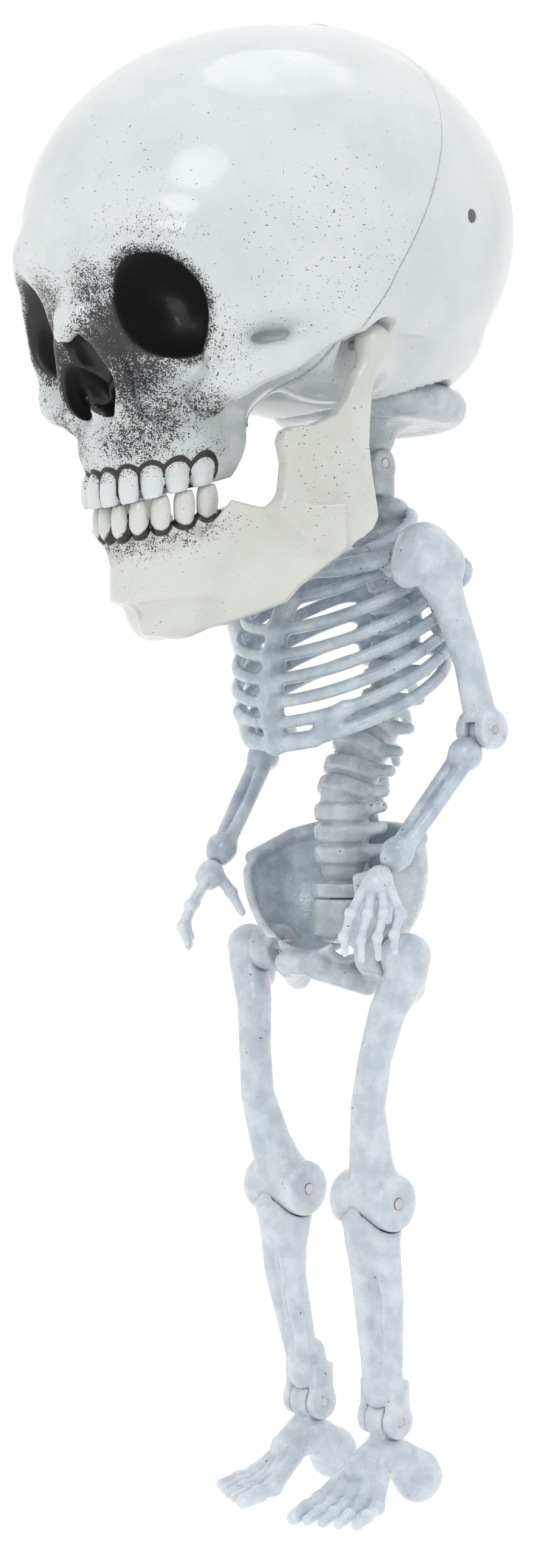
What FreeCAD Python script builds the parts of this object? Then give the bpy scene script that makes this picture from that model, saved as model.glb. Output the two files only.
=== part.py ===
"""Hanging skeleton figure with an oversized skull: 0.5 m tall, moulded plastic, pegged joints.

Frame, in millimetres: the origin is the hanging hole at the crown of the skull, +Z is up,
the figure faces -Y and its own left side is +X. Everything hangs below the origin.
"""
import FreeCAD, Part
import math
import os
import re

from FreeCAD import Placement, Rotation, Vector

doc = FreeCAD.newDocument("skeleton_figure")
sheet = doc.addObject("Spreadsheet::Sheet", "dims")

# Driving dimensions, in millimetres and degrees. Depths are along Y, heights along Z.
DIMENSIONS = {
    # skull
    "vault_half_width": 69, "vault_half_length": 93.2, "vault_half_height": 68.1,
    "vault_depth": -19.4, "vault_height": -74.1, "vault_tilt": 9.8, "vault_floor": -113,
    "shell_wall": 2.6, "seam_lean": 25,
    "seam_depth": 18, "screw_depth": 6.5, "screw_height": -74, "screw_radius": 1.2,
    "eyelet_hole": 2, "eyelet_radius": 5, "face_half_width": 40,
    # jaw
    "jaw_out": 52, "jaw_depth": -25, "jaw_height": -117, "jaw_pin": 1.6,
    "jaw_plate": 5, "bite_height": -172, "bite_depth": -97, "bite_lean": 16.7,
    "tooth_radius": 3.3,
    # neck and spine
    "neck_depth": 26, "seat_height": -121, "collar_radius": 27.6, "collar_edge": 6.3,
    "stem_radius": 8, "nod_height": -147, "nod_pin": 1.5, "spine_radius": 7.5,
    "lumbar_radius": 10.3, "waist_depth": 13, "waist_height": -297, "waist_pin": 4,
    # ribcage
    "chest_depth": 14, "chest_radius": 39.5, "rib_radius": 2.2, "rib_lean": 28,
    "rib_pitch": 7.6, "top_rib_height": -174,
    # arm
    "shoulder_out": 50, "shoulder_depth": 4, "shoulder_height": -184, "shoulder_peg": 3,
    "humerus_radius": 5.6, "elbow_out": 51, "elbow_depth": 28, "elbow_height": -240,
    "elbow_radius": 6.5, "elbow_pin": 1.3, "wrist_out": 42, "wrist_depth": -8.7,
    "wrist_height": -286, "wrist_peg": 1.5, "forearm_radius": 2.5, "finger_radius": 1.7,
    # pelvis and leg
    "pelvis_half_width": 37, "pelvis_half_depth": 26, "pelvis_half_height": 36,
    "pelvis_height": -287, "pelvis_wall": 3, "hip_out": 39, "hip_depth": 5,
    "hip_height": -315, "hip_peg": 3, "femur_radius": 5.9, "knee_out": 21.5,
    "knee_depth": 6, "knee_height": -398, "knee_radius": 9.6, "knee_half_width": 12.2,
    "knee_pin": 1.8, "shin_radius": 4.2, "ankle_out": 18.5, "ankle_depth": 15,
    "ankle_height": -473.5, "ankle_radius": 6.5, "ankle_pin": 1.5, "toe_radius": 2.4,
    "sole_height": -504,
    # running gaps
    "pin_gap": 0.05, "joint_gap": 0.4,
}
for row, (name, number) in enumerate(DIMENSIONS.items(), 1):
    sheet.set("A%d" % row, name)
    sheet.set("B%d" % row, str(number))
    sheet.setAlias("B%d" % row, name)
doc.recompute()

X_AXIS, Y_AXIS, Z_AXIS = Vector(1, 0, 0), Vector(0, 1, 0), Vector(0, 0, 1)
LEFT, RIGHT = 1, -1
BIG = 400.0


def value(name):
    """A driving dimension as a number, for placing things."""
    return float(sheet.get(name))


def bind(item, **sizes):
    """Ties an object's sizes to the sheet: every word in the text is one of its dimensions."""
    for size, text in sizes.items():
        item.setExpression(size, re.sub(r"[a-z][a-z_]*", lambda word: "dims." + word.group(), str(text)))
    return item


def point(out, depth, height):
    return Vector(value(out), value(depth), value(height))


def ball(centre, radius):
    item = bind(doc.addObject("Part::Sphere", "ball"), Radius=radius)
    item.Placement.Base = Vector(*centre)
    return item


def egg(centre, half_x, half_y, half_z, tilt=0):
    """An ellipsoid with its three half sizes, tilted about X."""
    item = bind(doc.addObject("Part::Ellipsoid", "egg"), Radius1=half_z, Radius2=half_x, Radius3=half_y)
    item.Placement = Placement(Vector(*centre), Rotation(X_AXIS, tilt))
    return item


def rod(start, end, radius, end_radius=None):
    """A round rod between two points, tapered if it has an end radius."""
    start, end = Vector(*start), Vector(*end)
    if end_radius is None:
        item = bind(doc.addObject("Part::Cylinder", "rod"), Radius=radius)
    else:
        item = bind(doc.addObject("Part::Cone", "taper"), Radius1=radius, Radius2=end_radius)
    item.Height = (end - start).Length
    item.Placement = Placement(start, Rotation(Z_AXIS, end - start))
    return item


def block(low, high, turn=None, about=None):
    """A box between two corners, turned about a point if asked."""
    item = doc.addObject("Part::Box", "block")
    size = Vector(*high) - Vector(*low)
    item.Length, item.Width, item.Height = size.x, size.y, size.z
    place = Placement(Vector(*low), Rotation())
    if turn is not None:
        place = Placement(Vector(), turn, Vector(*about)).multiply(place)
    item.Placement = place
    return item


def bone(points, radii):
    """Balls at each point with tapered rods between them."""
    pieces = [ball(centre, radius) for centre, radius in zip(points, radii)]
    for start, end, first, last in zip(points, points[1:], radii, radii[1:]):
        pieces.append(rod(start, end, first, None if first == last else last))
    return pieces


def fuse(pieces):
    item = doc.addObject("Part::MultiFuse", "joined")
    item.Shapes = pieces
    return item


def cut(base, tools):
    item = doc.addObject("Part::Cut", "cut")
    item.Base = base
    item.Tool = tools[0] if len(tools) == 1 else fuse(tools)
    return item


def fuse_in_turn(pieces):
    """Joins pieces one after another, which suits large curved forms."""
    item = pieces[0]
    for piece in pieces[1:]:
        step = doc.addObject("Part::Fuse", "joined")
        step.Base, step.Tool = item, piece
        item = step
    return item


def cut_in_turn(base, tools):
    for tool in tools:
        base = cut(base, [tool])
    return base


def common(first, second):
    item = doc.addObject("Part::Common", "common")
    item.Base, item.Tool = first, second
    return item


def mirrored(make):
    """The same pieces made on the left and on the right."""
    return [piece for side in (LEFT, RIGHT) for piece in make(side)]


nodes = []


def node(name, item):
    """Names a finished sub-part."""
    item.Label = name
    nodes.append(item)
    return item


# ---------------------------------------------------------------- skull


VAULT = (0, value("vault_depth"), value("vault_height"))
SEAM_TURN = Rotation(X_AXIS, -value("seam_lean"))
SEAM_POINT = Vector(0, value("seam_depth"), 0)
ORBIT = Vector(26, -98, -110)
NOSE = Vector(0, -103, -130)


def skull_bulk(wall):
    """The skull's outer form; with a wall, the same form smaller by that much all round."""
    def half(size):
        return "%s - %s" % (size, wall)

    def cheek(side):
        return [egg((side * 33, -75, -128), half(13), half(17), half(14))]

    vault = egg(VAULT, half("vault_half_width"), half("vault_half_length"), half("vault_half_height"),
                value("vault_tilt"))
    floor = value("vault_floor") + (0 if wall == "0" else value(wall))
    above = block((-BIG, -BIG, floor), (BIG, BIG, BIG))
    return [
        common(vault, above),
        egg((0, 6, -53.5), half(42), half(60), half(52)),
        egg((0, 8, -104), half(50), half(54), half(30), 5),
        egg((0, -64, -106), half("face_half_width + 3"), half(40), half(38)),
        egg((0, -67, -146), half(26), half(30), half(27)),
    ] + mirrored(cheek)


def sockets(wall):
    """The two eye sockets and the nose opening, grown by a wall."""
    def orbit(side):
        return [egg((side * ORBIT.x, ORBIT.y, ORBIT.z), 14 + wall, 24 + wall, 15 + wall)]

    return mirrored(orbit) + [egg(NOSE, 9 + wall, 17 + wall, 15 + wall, -12)]


def arch(side):
    """The cheek arch, from the cheekbone back to the temple, just above the jaw's head."""
    front, middle, rear = (side * 41, -76, -129), (side * 52, -50, -117), (side * 53, -39, -110)
    return bone([front, middle, rear], ["5", "4", "5"])


def jaw_lug(side):
    """The lug inside the base that carries a jaw pin."""
    return [rod((side * 26, value("jaw_depth"), value("jaw_height")),
                (side * 44, value("jaw_depth"), value("jaw_height")), "8")]


def jaw_room(side):
    """The room that the jaw's head turns in, with the hole for its pin."""
    pivot = (value("jaw_depth"), value("jaw_height"))
    return [rod((side * 43, *pivot), (side * 64, *pivot), "7.4"),
            side_block(side, (43, pivot[0] - 8, pivot[1] - 30), (64, pivot[0] + 8, pivot[1])),
            rod((side * 30, *pivot), (side * 46, *pivot), "jaw_pin")]


def bite_at(depth):
    """The height where the teeth meet, which rises towards the back."""
    return value("bite_height") + (depth - value("bite_depth")) * math.tan(math.radians(value("bite_lean")))


def upper_tooth(angle):
    across, depth = 21.2 * math.sin(angle), -64.7 - 29 * math.cos(angle)
    return rod((across, depth, bite_at(depth) - 3), (across, depth, bite_at(depth) + 12),
               "tooth_radius", "tooth_radius - 0.7")


TOOTH_ANGLES = [math.radians(17.5 * (step - 4.5)) for step in range(10)]


def upright(low, high, radius):
    """A rod on the neck's upright axis."""
    return rod((0, value("neck_depth"), low), (0, value("neck_depth"), high), radius)


def skull_shell():
    """The whole hollow skull before it is parted at the seam."""
    seat_height = value("seat_height")
    floor = upright(seat_height - 1, seat_height + 3, "collar_radius + collar_edge - 1")
    inside = fuse_in_turn(skull_bulk("shell_wall"))
    hollow = cut(inside, sockets(2.4) + mirrored(jaw_lug) + [floor])
    flat_bite = block((-BIG, -BIG, -BIG), (BIG, BIG, 0.2), Rotation(X_AXIS, value("bite_lean")), (0, 0, 0))
    flat_bite.Placement.Base += Vector(0, value("bite_depth"), value("bite_height"))
    seat = upright(-170, seat_height, "collar_radius + collar_edge + 1")
    stem_hole = upright(-169, -110, "stem_radius + pin_gap")
    openings, rooms = sockets(0), mirrored(jaw_room)
    nose_bone = egg((0, -98, -113), 8, 13, 13)
    outside = fuse_in_turn(skull_bulk("0") + [nose_bone])
    shell = cut_in_turn(outside, [hollow] + openings + rooms + [seat, stem_hole, flat_bite])
    teeth = cut(fuse([upper_tooth(angle) for angle in TOOTH_ANGLES]), [flat_bite])
    arches = cut(fuse(mirrored(arch)), rooms)
    return fuse_in_turn([shell, teeth, arches])


def screw_line(side, start, end, radius):
    return rod((side * start, value("screw_depth"), value("screw_height")),
               (side * end, value("screw_depth"), value("screw_height")), radius)


def side_block(side, low, high):
    """A box stated for the left side, on either side."""
    if side == LEFT:
        return block(low, high)
    return block((-high[0], low[1], low[2]), (-low[0], high[1], high[2]))


def screw_tab(side):
    """The tab of the front shell that reaches back past the seam to its screw."""
    return [side_block(side, (57, -36, -82), (61.1, 12, -66)),
            side_block(side, (58, -35, -81), (70.4, -25, -67))]


def screw_pad(side):
    """The thick place of the rear shell that the screw's head draws against the tab."""
    return [common(side_block(side, (61.2, -1, -82), (74, 14, -66)), egg(VAULT, 68, 92.2, 67.1, value("vault_tilt")))]


def front_half():
    front = block((-BIG, -BIG, -BIG), (BIG, 0, BIG), SEAM_TURN, (0, 0, 0))
    front.Placement.Base = front.Placement.Base + SEAM_POINT
    return front


def make_skull():
    shell = skull_shell()
    crown = [rod((0, 0, -12), (0, 0, 4), "eyelet_radius - 1"), rod((0, 0, -2), (0, 0, 6), "eyelet_radius")]
    screws = mirrored(lambda side: [screw_line(side, 50, 80, "screw_radius")])
    heads = mirrored(lambda side: [screw_line(side, 64.4, 80, "screw_radius + 1")])
    front = common(shell, front_half())
    node("skull_front_shell", cut(fuse([front] + mirrored(screw_tab)), screws + crown))
    rear = cut(shell, [front_half()])
    node("skull_rear_shell", cut(fuse([rear] + mirrored(screw_pad)), screws + heads))
    node("shell_screws", fuse(mirrored(lambda side: [
        screw_line(side, 52, 64.4, "screw_radius"), screw_line(side, 64.4, 65.9, "screw_radius + 0.9")])))
    node("jaw_pins", fuse(mirrored(lambda side: [
        rod((side * 31, value("jaw_depth"), value("jaw_height")),
            (side * 53, value("jaw_depth"), value("jaw_height")), "jaw_pin")])))
    flange = rod((0, 0, -2), (0, 0, 0), "eyelet_radius")
    sleeve = rod((0, 0, -6), (0, 0, 0), "eyelet_radius - 1")
    node("hang_eyelet", cut(fuse([flange, sleeve]), [rod((0, 0, -20), (0, 0, 20), "eyelet_hole")]))


# ---------------------------------------------------------------- jaw


def plan_band(outline, low, high):
    """An upright band given by its outline in plan on the left, mirrored to the right."""
    corners = [Vector(out, depth, low) for out, depth in outline]
    corners += [Vector(-corner.x, corner.y, low) for corner in reversed(corners)]
    line = doc.addObject("Part::Polygon", "band_line")
    line.Nodes, line.Close = corners, True
    solid = doc.addObject("Part::Extrusion", "band")
    solid.Base, solid.Dir, solid.Solid = line, Vector(0, 0, high - low), True
    return solid


def ramus(side):
    """The upright plate at the back of the jaw, with its front hook, as a padded sketch."""
    outline = [(4, -22), (1, -33), (-3, -45), (4, -52), (0.5, -61), (-20, -72), (-38, -78), (-42, -62),
               (-38, -50), (-33.5, -42), (-31, -28.5), (-24, -30), (-10, -28), (-6, -20)]
    body = doc.addObject("PartDesign::Body", "ramus")
    sketch = body.newObject("Sketcher::SketchObject", "ramus_outline")
    plane = [item for item in body.Origin.OriginFeatures if item.Role == "YZ_Plane"][0]
    sketch.AttachmentSupport = [(plane, "")]
    sketch.MapMode = "FlatFace"
    corners = [Vector(depth, height, 0) for depth, height in outline]
    for start, end in zip(corners, corners[1:] + corners[:1]):
        sketch.addGeometry(Part.LineSegment(start, end), False)
    pad = body.newObject("PartDesign::Pad", "ramus_pad")
    pad.Profile = sketch
    pad.Midplane = True
    bind(pad, Length="jaw_plate")
    body.Placement = Placement(Vector(side * 49.5, value("jaw_depth"), value("jaw_height")),
                               Rotation(Z_AXIS, -side * 10))
    return body


def jaw_side(side):
    pivot = Vector(side * value("jaw_out"), value("jaw_depth"), value("jaw_height"))
    neck = Vector(side * 50.5, value("jaw_depth") - 1.5, value("jaw_height") - 24)
    return [ball(pivot, "6"), rod(neck, pivot, "4.4", "4.2"), ramus(side)]


def lower_tooth(angle):
    across, depth = 20.6 * math.sin(angle), -62 - 27.4 * math.cos(angle)
    return rod((across, depth, bite_at(depth) - 13), (across, depth, bite_at(depth) - 1.3),
               "tooth_radius - 0.4", "tooth_radius - 0.1")


def make_jaw():
    body_band = plan_band([(0.5, -76), (9, -74), (46, -39.5), (52, -30), (52, -23), (45, -23), (45, -29),
                           (40.5, -36.5), (6.5, -67), (0.5, -68.5)], -214, -160)
    gum_band = plan_band([(0.5, -87.5), (8, -86), (15, -80), (20.5, -70), (22.5, -56), (15.5, -56), (14, -67),
                          (10, -75), (5.5, -79), (0.5, -80)], -196, -160)
    under = block((-BIG, -BIG, -BIG), (BIG, BIG, 0), Rotation(X_AXIS, 30), (0, 0, 0))
    under.Placement.Base = under.Placement.Base + Vector(0, -74, -210)
    over = block((-BIG, -BIG, 0), (BIG, BIG, BIG), Rotation(X_AXIS, 20), (0, 0, 0))
    over.Placement.Base = over.Placement.Base + Vector(0, -76, -185)
    gum_line = block((-BIG, -BIG, 0), (BIG, BIG, BIG), Rotation(X_AXIS, value("bite_lean")), (0, 0, 0))
    gum_line.Placement.Base += Vector(0, value("bite_depth"), value("bite_height") - 9)
    bodied = cut(body_band, [under, over])
    gums = cut(gum_band, [under, gum_line])
    chin = bone([(-6, -67.5, -202), (6, -67.5, -202)], ["7", "7"])
    bulk = fuse([bodied, gums] + chin + mirrored(jaw_side) + [lower_tooth(angle) for angle in TOOTH_ANGLES])
    bores = mirrored(lambda side: [
        rod((side * 40, value("jaw_depth"), value("jaw_height")),
            (side * 53.4, value("jaw_depth"), value("jaw_height")), "jaw_pin + pin_gap")])
    node("jaw", cut(bulk, bores))


# ---------------------------------------------------------------- neck and torso


def on_axis(height):
    """A point on the neck's upright axis."""
    return Vector(0, value("neck_depth"), height)


def make_neck():
    top = value("seat_height") - value("joint_gap")
    middle = top - value("collar_edge")
    edge = bind(doc.addObject("Part::Torus", "collar_rim"), Radius1="collar_radius", Radius2="collar_edge")
    edge.Placement.Base = on_axis(middle)
    bottom = middle - value("collar_edge")
    plate = rod(on_axis(bottom), on_axis(top), "collar_radius")
    cone = rod(on_axis(bottom - 5), on_axis(bottom + 0.5), "9", "collar_radius - 1")
    stem = rod(on_axis(bottom), on_axis(-111), "stem_radius")
    tongue = block((-3, value("neck_depth") - 5, value("nod_height")), (3, value("neck_depth") + 5, bottom))
    eye = rod((-3, value("neck_depth"), value("nod_height")), (3, value("neck_depth"), value("nod_height")), "5")
    bore = rod((-9, value("neck_depth"), value("nod_height")), (9, value("neck_depth"), value("nod_height")),
               "nod_pin + pin_gap")
    node("neck_collar", cut(fuse([edge, plate, cone, stem, tongue, eye]), [bore]))
    ring_low = value("seat_height") + 3 + value("joint_gap")
    ring = rod(on_axis(ring_low), on_axis(ring_low + 4), "stem_radius + 4")
    node("neck_retainer", cut(ring, [rod(on_axis(-130), on_axis(-100), "stem_radius")]))


SPINE = [(0, 27, -158), (0, 31, -172), (0, 36, -192), (0, 37, -214), (0, 30, -234), (0, 19, -250),
         (0, 13, -264), (0, 13, -286)]


def vertebrae():
    """Bead-like bodies along the spine on a thinner core, with a spur behind each of the lower ones."""
    pieces = []
    for index, (start, end) in enumerate(zip(SPINE, SPINE[1:])):
        start, end = Vector(*start), Vector(*end)
        radius = "spine_radius" if index < 4 else "lumbar_radius"
        along = (end - start).normalize()
        count = max(1, round((end - start).Length / 8.5))
        pieces.append(rod(start, end, radius + " - 2.2"))
        for step in range(count):
            middle = start + (end - start) * ((step + 0.5) / count)
            pieces.append(ball(middle, radius))
            if index > 4:
                pieces.append(rod(middle, middle + Vector(0, -along.z, along.y) * 16, "1.9"))
    return pieces


def make_spine():
    cheeks = mirrored(lambda side: [
        rod((side * 3.4, value("neck_depth"), value("nod_height")),
            (side * 8, value("neck_depth"), value("nod_height")), "5"),
        side_block(side, (3.4, value("neck_depth") - 5, -158), (8, value("neck_depth") + 5, value("nod_height")))])
    room = rod((-3.4, value("neck_depth"), value("nod_height")), (3.4, value("neck_depth"), value("nod_height")), "5.4")
    foot = rod((0, value("waist_depth"), -289), (0, value("waist_depth"), value("waist_height")), "lumbar_radius + 0.6")
    waist_bore = rod((0, value("waist_depth"), -310), (0, value("waist_depth"), value("waist_height") + 9),
                     "waist_pin + pin_gap")
    nod_bore = rod((-20, value("neck_depth"), value("nod_height")), (20, value("neck_depth"), value("nod_height")), "nod_pin")
    neck_room = block((-3.4, 10, value("nod_height") + 2), (3.4, 42, -140))
    column = fuse(vertebrae() + cheeks + [foot])
    node("spine_column", cut(column, [room, waist_bore, nod_bore, neck_room, nodes_by_name["ribcage_back"]]))
    node("neck_pin", rod((-8, value("neck_depth"), value("nod_height")), (8, value("neck_depth"), value("nod_height")), "nod_pin"))


RIB_SCALES = [0.62, 0.74, 0.92, 0.98, 1.0, 1.0, 0.97, 0.93]


def rib_centre(level):
    return Vector(0, value("chest_depth"), value("top_rib_height") - level * value("rib_pitch"))


def rib(level, first):
    """Half of one leaning rib hoop, from one side round to the other."""
    hoop = doc.addObject("Part::Torus", "rib")
    bind(hoop, Radius1="%g * chest_radius" % RIB_SCALES[level], Radius2="rib_radius")
    hoop.Angle3 = 180
    hoop.Placement = Placement(rib_centre(level), Rotation(X_AXIS, value("rib_lean")) * Rotation(Z_AXIS, first))
    return hoop


def rib_point(level, angle):
    """A point on a rib hoop, at an angle from the left side towards the back."""
    reach = RIB_SCALES[level] * value("chest_radius")
    flat = Vector(reach * math.cos(math.radians(angle)), reach * math.sin(math.radians(angle)), 0)
    return rib_centre(level) + Rotation(X_AXIS, value("rib_lean")).multVec(flat)


def shoulder_line(side, start, end, radius):
    return rod((side * start, value("shoulder_depth"), value("shoulder_height")),
               (side * end, value("shoulder_depth"), value("shoulder_height")), radius)


def collar_bone(side):
    """The collar bone, from the breastbone's top to the shoulder lug."""
    top = rib_point(0, -90)
    return bone([top, Vector(side * 20, -8, -186), Vector(side * 35, 0, -183)], ["3", "3", "3.4"])


def shoulder_blade(side):
    """The shoulder blade: a thin tapered plate behind the ribs, with the lug that holds the arm's peg."""
    lug = shoulder_line(side, 32, 39.2, "5.6")
    arm = rod((side * 35.5, value("shoulder_depth") + 1, value("shoulder_height")), (side * 29, 42, -184), "3.1", "2.4")
    blade = side_block(side, (17, 42.6, -212), (30, 45.8, -183))
    corners = [(side * 29, 42, -184), (side * 16, 44, -184), (side * 18, 44.2, -212), (side * 29, 44.2, -210)]
    rim = bone(corners + corners[:1], ["2.6", "2.6", "2", "2", "2.6"])
    spine = rod((side * 16, 44, -184), (side * 4, 45, -178), "2.4", "2")
    return [lug, arm, blade, spine] + rim


def make_ribcage():
    levels = range(len(RIB_SCALES))
    front = [rib(level, 180) for level in levels]
    breastbone = [rib_point(0, -90), rib_point(2, -90), rib_point(5, -90), rib_point(7, -90)]
    front += bone(breastbone, ["4.2", "3.6", "3.8", "3"])
    margin = mirrored(lambda side: [rod(rib_point(7, -90), rib_point(7, -90 + side * 42), "2.8", "2.4")])
    clavicles = mirrored(lambda side: collar_bone(side))
    pegs = mirrored(lambda side: [shoulder_line(side, 26, 56, "shoulder_peg")])
    lugs = mirrored(lambda side: [shoulder_line(side, 32, 50, "5.6")])
    nodes_by_name["ribcage_front"] = node("ribcage_front", cut(fuse(front + margin + clavicles), lugs + pegs))
    back = [rib(level, 0) for level in levels]
    back += bone([rib_point(0, 90), rib_point(3, 90), rib_point(7, 90)], ["4", "4.4", "3.6"])
    blades = mirrored(shoulder_blade)
    nodes_by_name["ribcage_back"] = node("ribcage_back", cut(fuse(back + blades), pegs))
    for side, name in ((LEFT, "left"), (RIGHT, "right")):
        node("shoulder_peg_" + name, shoulder_line(side, 28, 52, "shoulder_peg"))


nodes_by_name = {}


# ---------------------------------------------------------------- arms


def hinge_line(side, out, depth, height, start, end, radius):
    """A rod along a hinge's axis, from start to end beside the hinge's middle."""
    return rod((side * (out + start), depth, height), (side * (out + end), depth, height), radius)


def make_arm(side, name):
    shoulder = point("shoulder_out", "shoulder_depth", "shoulder_height")
    elbow = point("elbow_out", "elbow_depth", "elbow_height")
    wrist = point("wrist_out", "wrist_depth", "wrist_height")
    shoulder.x, elbow.x, wrist.x = side * shoulder.x, side * elbow.x, side * wrist.x
    at_elbow = (value("elbow_out"), elbow.y, elbow.z)

    shaft = [shoulder, Vector(side * 51, 12, -199), Vector(side * 52.5, 20, -218), Vector(side * 51.3, 26, -233)]
    upper = bone(shaft, ["9.8", "humerus_radius + 0.6", "humerus_radius - 0.4", "humerus_radius"])
    upper.append(hinge_line(side, *at_elbow, -6.4, 6.4, "elbow_radius"))
    slot = hinge_line(side, *at_elbow, -2.4, 2.4, "elbow_radius - 1.5")
    mouth = side_block(side, (value("elbow_out") - 2.4, elbow.y - 22, elbow.z - 12),
                       (value("elbow_out") + 2.4, elbow.y + 5, elbow.z + 2.5))
    peg_bore = shoulder_line(side, 30, 52.5, "shoulder_peg + pin_gap")
    flat = side_block(side, (20, -20, -200), (39.7, 30, -165))
    bore = hinge_line(side, *at_elbow, -10, 10, "elbow_pin + pin_gap")
    node("upper_arm_" + name, cut(fuse(upper), [slot, mouth, peg_bore, flat, bore]))
    node("elbow_pin_" + name, hinge_line(side, *at_elbow, -6.2, 6.2, "elbow_pin"))

    along = (wrist - elbow).normalize()
    neck, flare = elbow + along * 10.5, wrist - along * 7
    lower = [hinge_line(side, *at_elbow, -2, 2, "elbow_radius - 2")]
    lower.append(rod(elbow, neck, "2"))
    lower += [ball(neck, "6.2"), ball(flare, "5"), rod(flare, wrist - along * 0.2, "5", "5.2")]
    for offset in (-2.9, 2.9):
        shift = Vector(side * offset, 0, 0)
        lower.append(rod(neck + shift * 0.8, flare + shift * 0.7, "forearm_radius"))
    room = hinge_line(side, *at_elbow, -9, -2.2, "elbow_radius + joint_gap")
    other_room = hinge_line(side, *at_elbow, 2.2, 9, "elbow_radius + joint_gap")
    wrist_bore = rod(wrist - along * 8, wrist + along * 2, "wrist_peg + pin_gap")
    pin_hole = hinge_line(side, *at_elbow, -10, 10, "elbow_pin")
    node("forearm_" + name, cut(fuse(lower), [room, other_room, wrist_bore, pin_hole]))
    node("wrist_peg_" + name, rod(wrist - along * 7.6, wrist + along * 5, "wrist_peg"))

    heel = wrist + along * 0.2
    palm = wrist + along * 5
    hand = [rod(heel, palm, "4.6", "5"), ball(palm, "5")]
    spread = Vector(side * 0.68, 0.73, 0)
    knuckles = Vector(side * 45, -16.5, -300)
    for finger in (-1.5, -0.5, 0.5, 1.5):
        knuckle = knuckles + spread * (5.4 * finger)
        bend = knuckle + Vector(side * 0.4, -3.5, -8.5 + abs(finger + 0.3))
        tip = bend + Vector(-side * 1, 1.5, -7 + abs(finger))
        root = palm + spread * (2.2 * finger)
        hand += bone([root, knuckle, bend, tip],
                     ["finger_radius", "finger_radius + 0.4", "finger_radius", "finger_radius - 0.3"])
    thumb = [palm + Vector(-side * 1, 2, 1), Vector(side * 38.5, -4, -296), Vector(side * 35.8, -1.5, -303)]
    hand += bone(thumb, ["finger_radius + 0.8", "finger_radius + 0.1", "finger_radius - 0.2"])
    node("hand_" + name, cut(fuse(hand), [rod(wrist - along * 3, wrist + along * 5, "wrist_peg")]))


# ---------------------------------------------------------------- pelvis and legs


def hip_line(side, start, end, radius):
    return rod((side * start, value("hip_depth"), value("hip_height")),
               (side * end, value("hip_depth"), value("hip_height")), radius)


def make_pelvis():
    centre = (0, value("waist_depth") - 4, value("pelvis_height"))
    halves = ("pelvis_half_width", "pelvis_half_depth", "pelvis_half_height")
    outer = egg(centre, *halves)
    inner = egg(centre, *["%s - pelvis_wall" % half for half in halves])
    crest = block((-BIG, -BIG, 0), (BIG, BIG, BIG), Rotation(X_AXIS, 24), (0, 0, 0))
    crest.Placement.Base = crest.Placement.Base + Vector(0, value("waist_depth"), -279)
    notch = egg((0, -18, -294), 29, 24, 24)
    outlet = rod((0, 14, -340), (0, 14, -312), "13")
    side_holes = mirrored(lambda side: [rod((side * 16, -24, -318), (side * 16, -2, -315), "4.4")])
    rear_notch = mirrored(lambda side: [egg((side * 26, 36, -309), 12, 12, 11)])
    sacrum = block((-11, 12, -318), (11, 35, value("waist_height") - value("joint_gap")))
    seat = rod((0, value("waist_depth"), -310),
               (0, value("waist_depth"), value("waist_height") - value("joint_gap")), "lumbar_radius + 0.6")
    cups = mirrored(lambda side: [hip_line(side, 21, 31, "8.2")])
    sitting = mirrored(lambda side: bone([(side * 24, 8, -317), (side * 17, 8, -325), (side * 7, -5, -321)],
                                         ["5", "4.6", "3.6"]))
    pubis = rod((-7, -7, -319), (7, -7, -319), "4")
    shell = cut(outer, [inner, crest, notch, outlet] + rear_notch)
    whole = fuse([shell, sacrum, seat, pubis] + cups + sitting)
    pegs = mirrored(lambda side: [hip_line(side, 20, 40, "hip_peg")])
    waist_hole = rod((0, value("waist_depth"), -309), (0, value("waist_depth"), -280), "waist_pin")
    node("pelvis", cut(whole, side_holes + pegs + [waist_hole]))
    node("waist_peg", rod((0, value("waist_depth"), -309), (0, value("waist_depth"), value("waist_height") + 8.6),
                          "waist_pin"))
    for side, name in ((LEFT, "left"), (RIGHT, "right")):
        node("hip_peg_" + name, hip_line(side, 20, 40, "hip_peg"))


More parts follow.
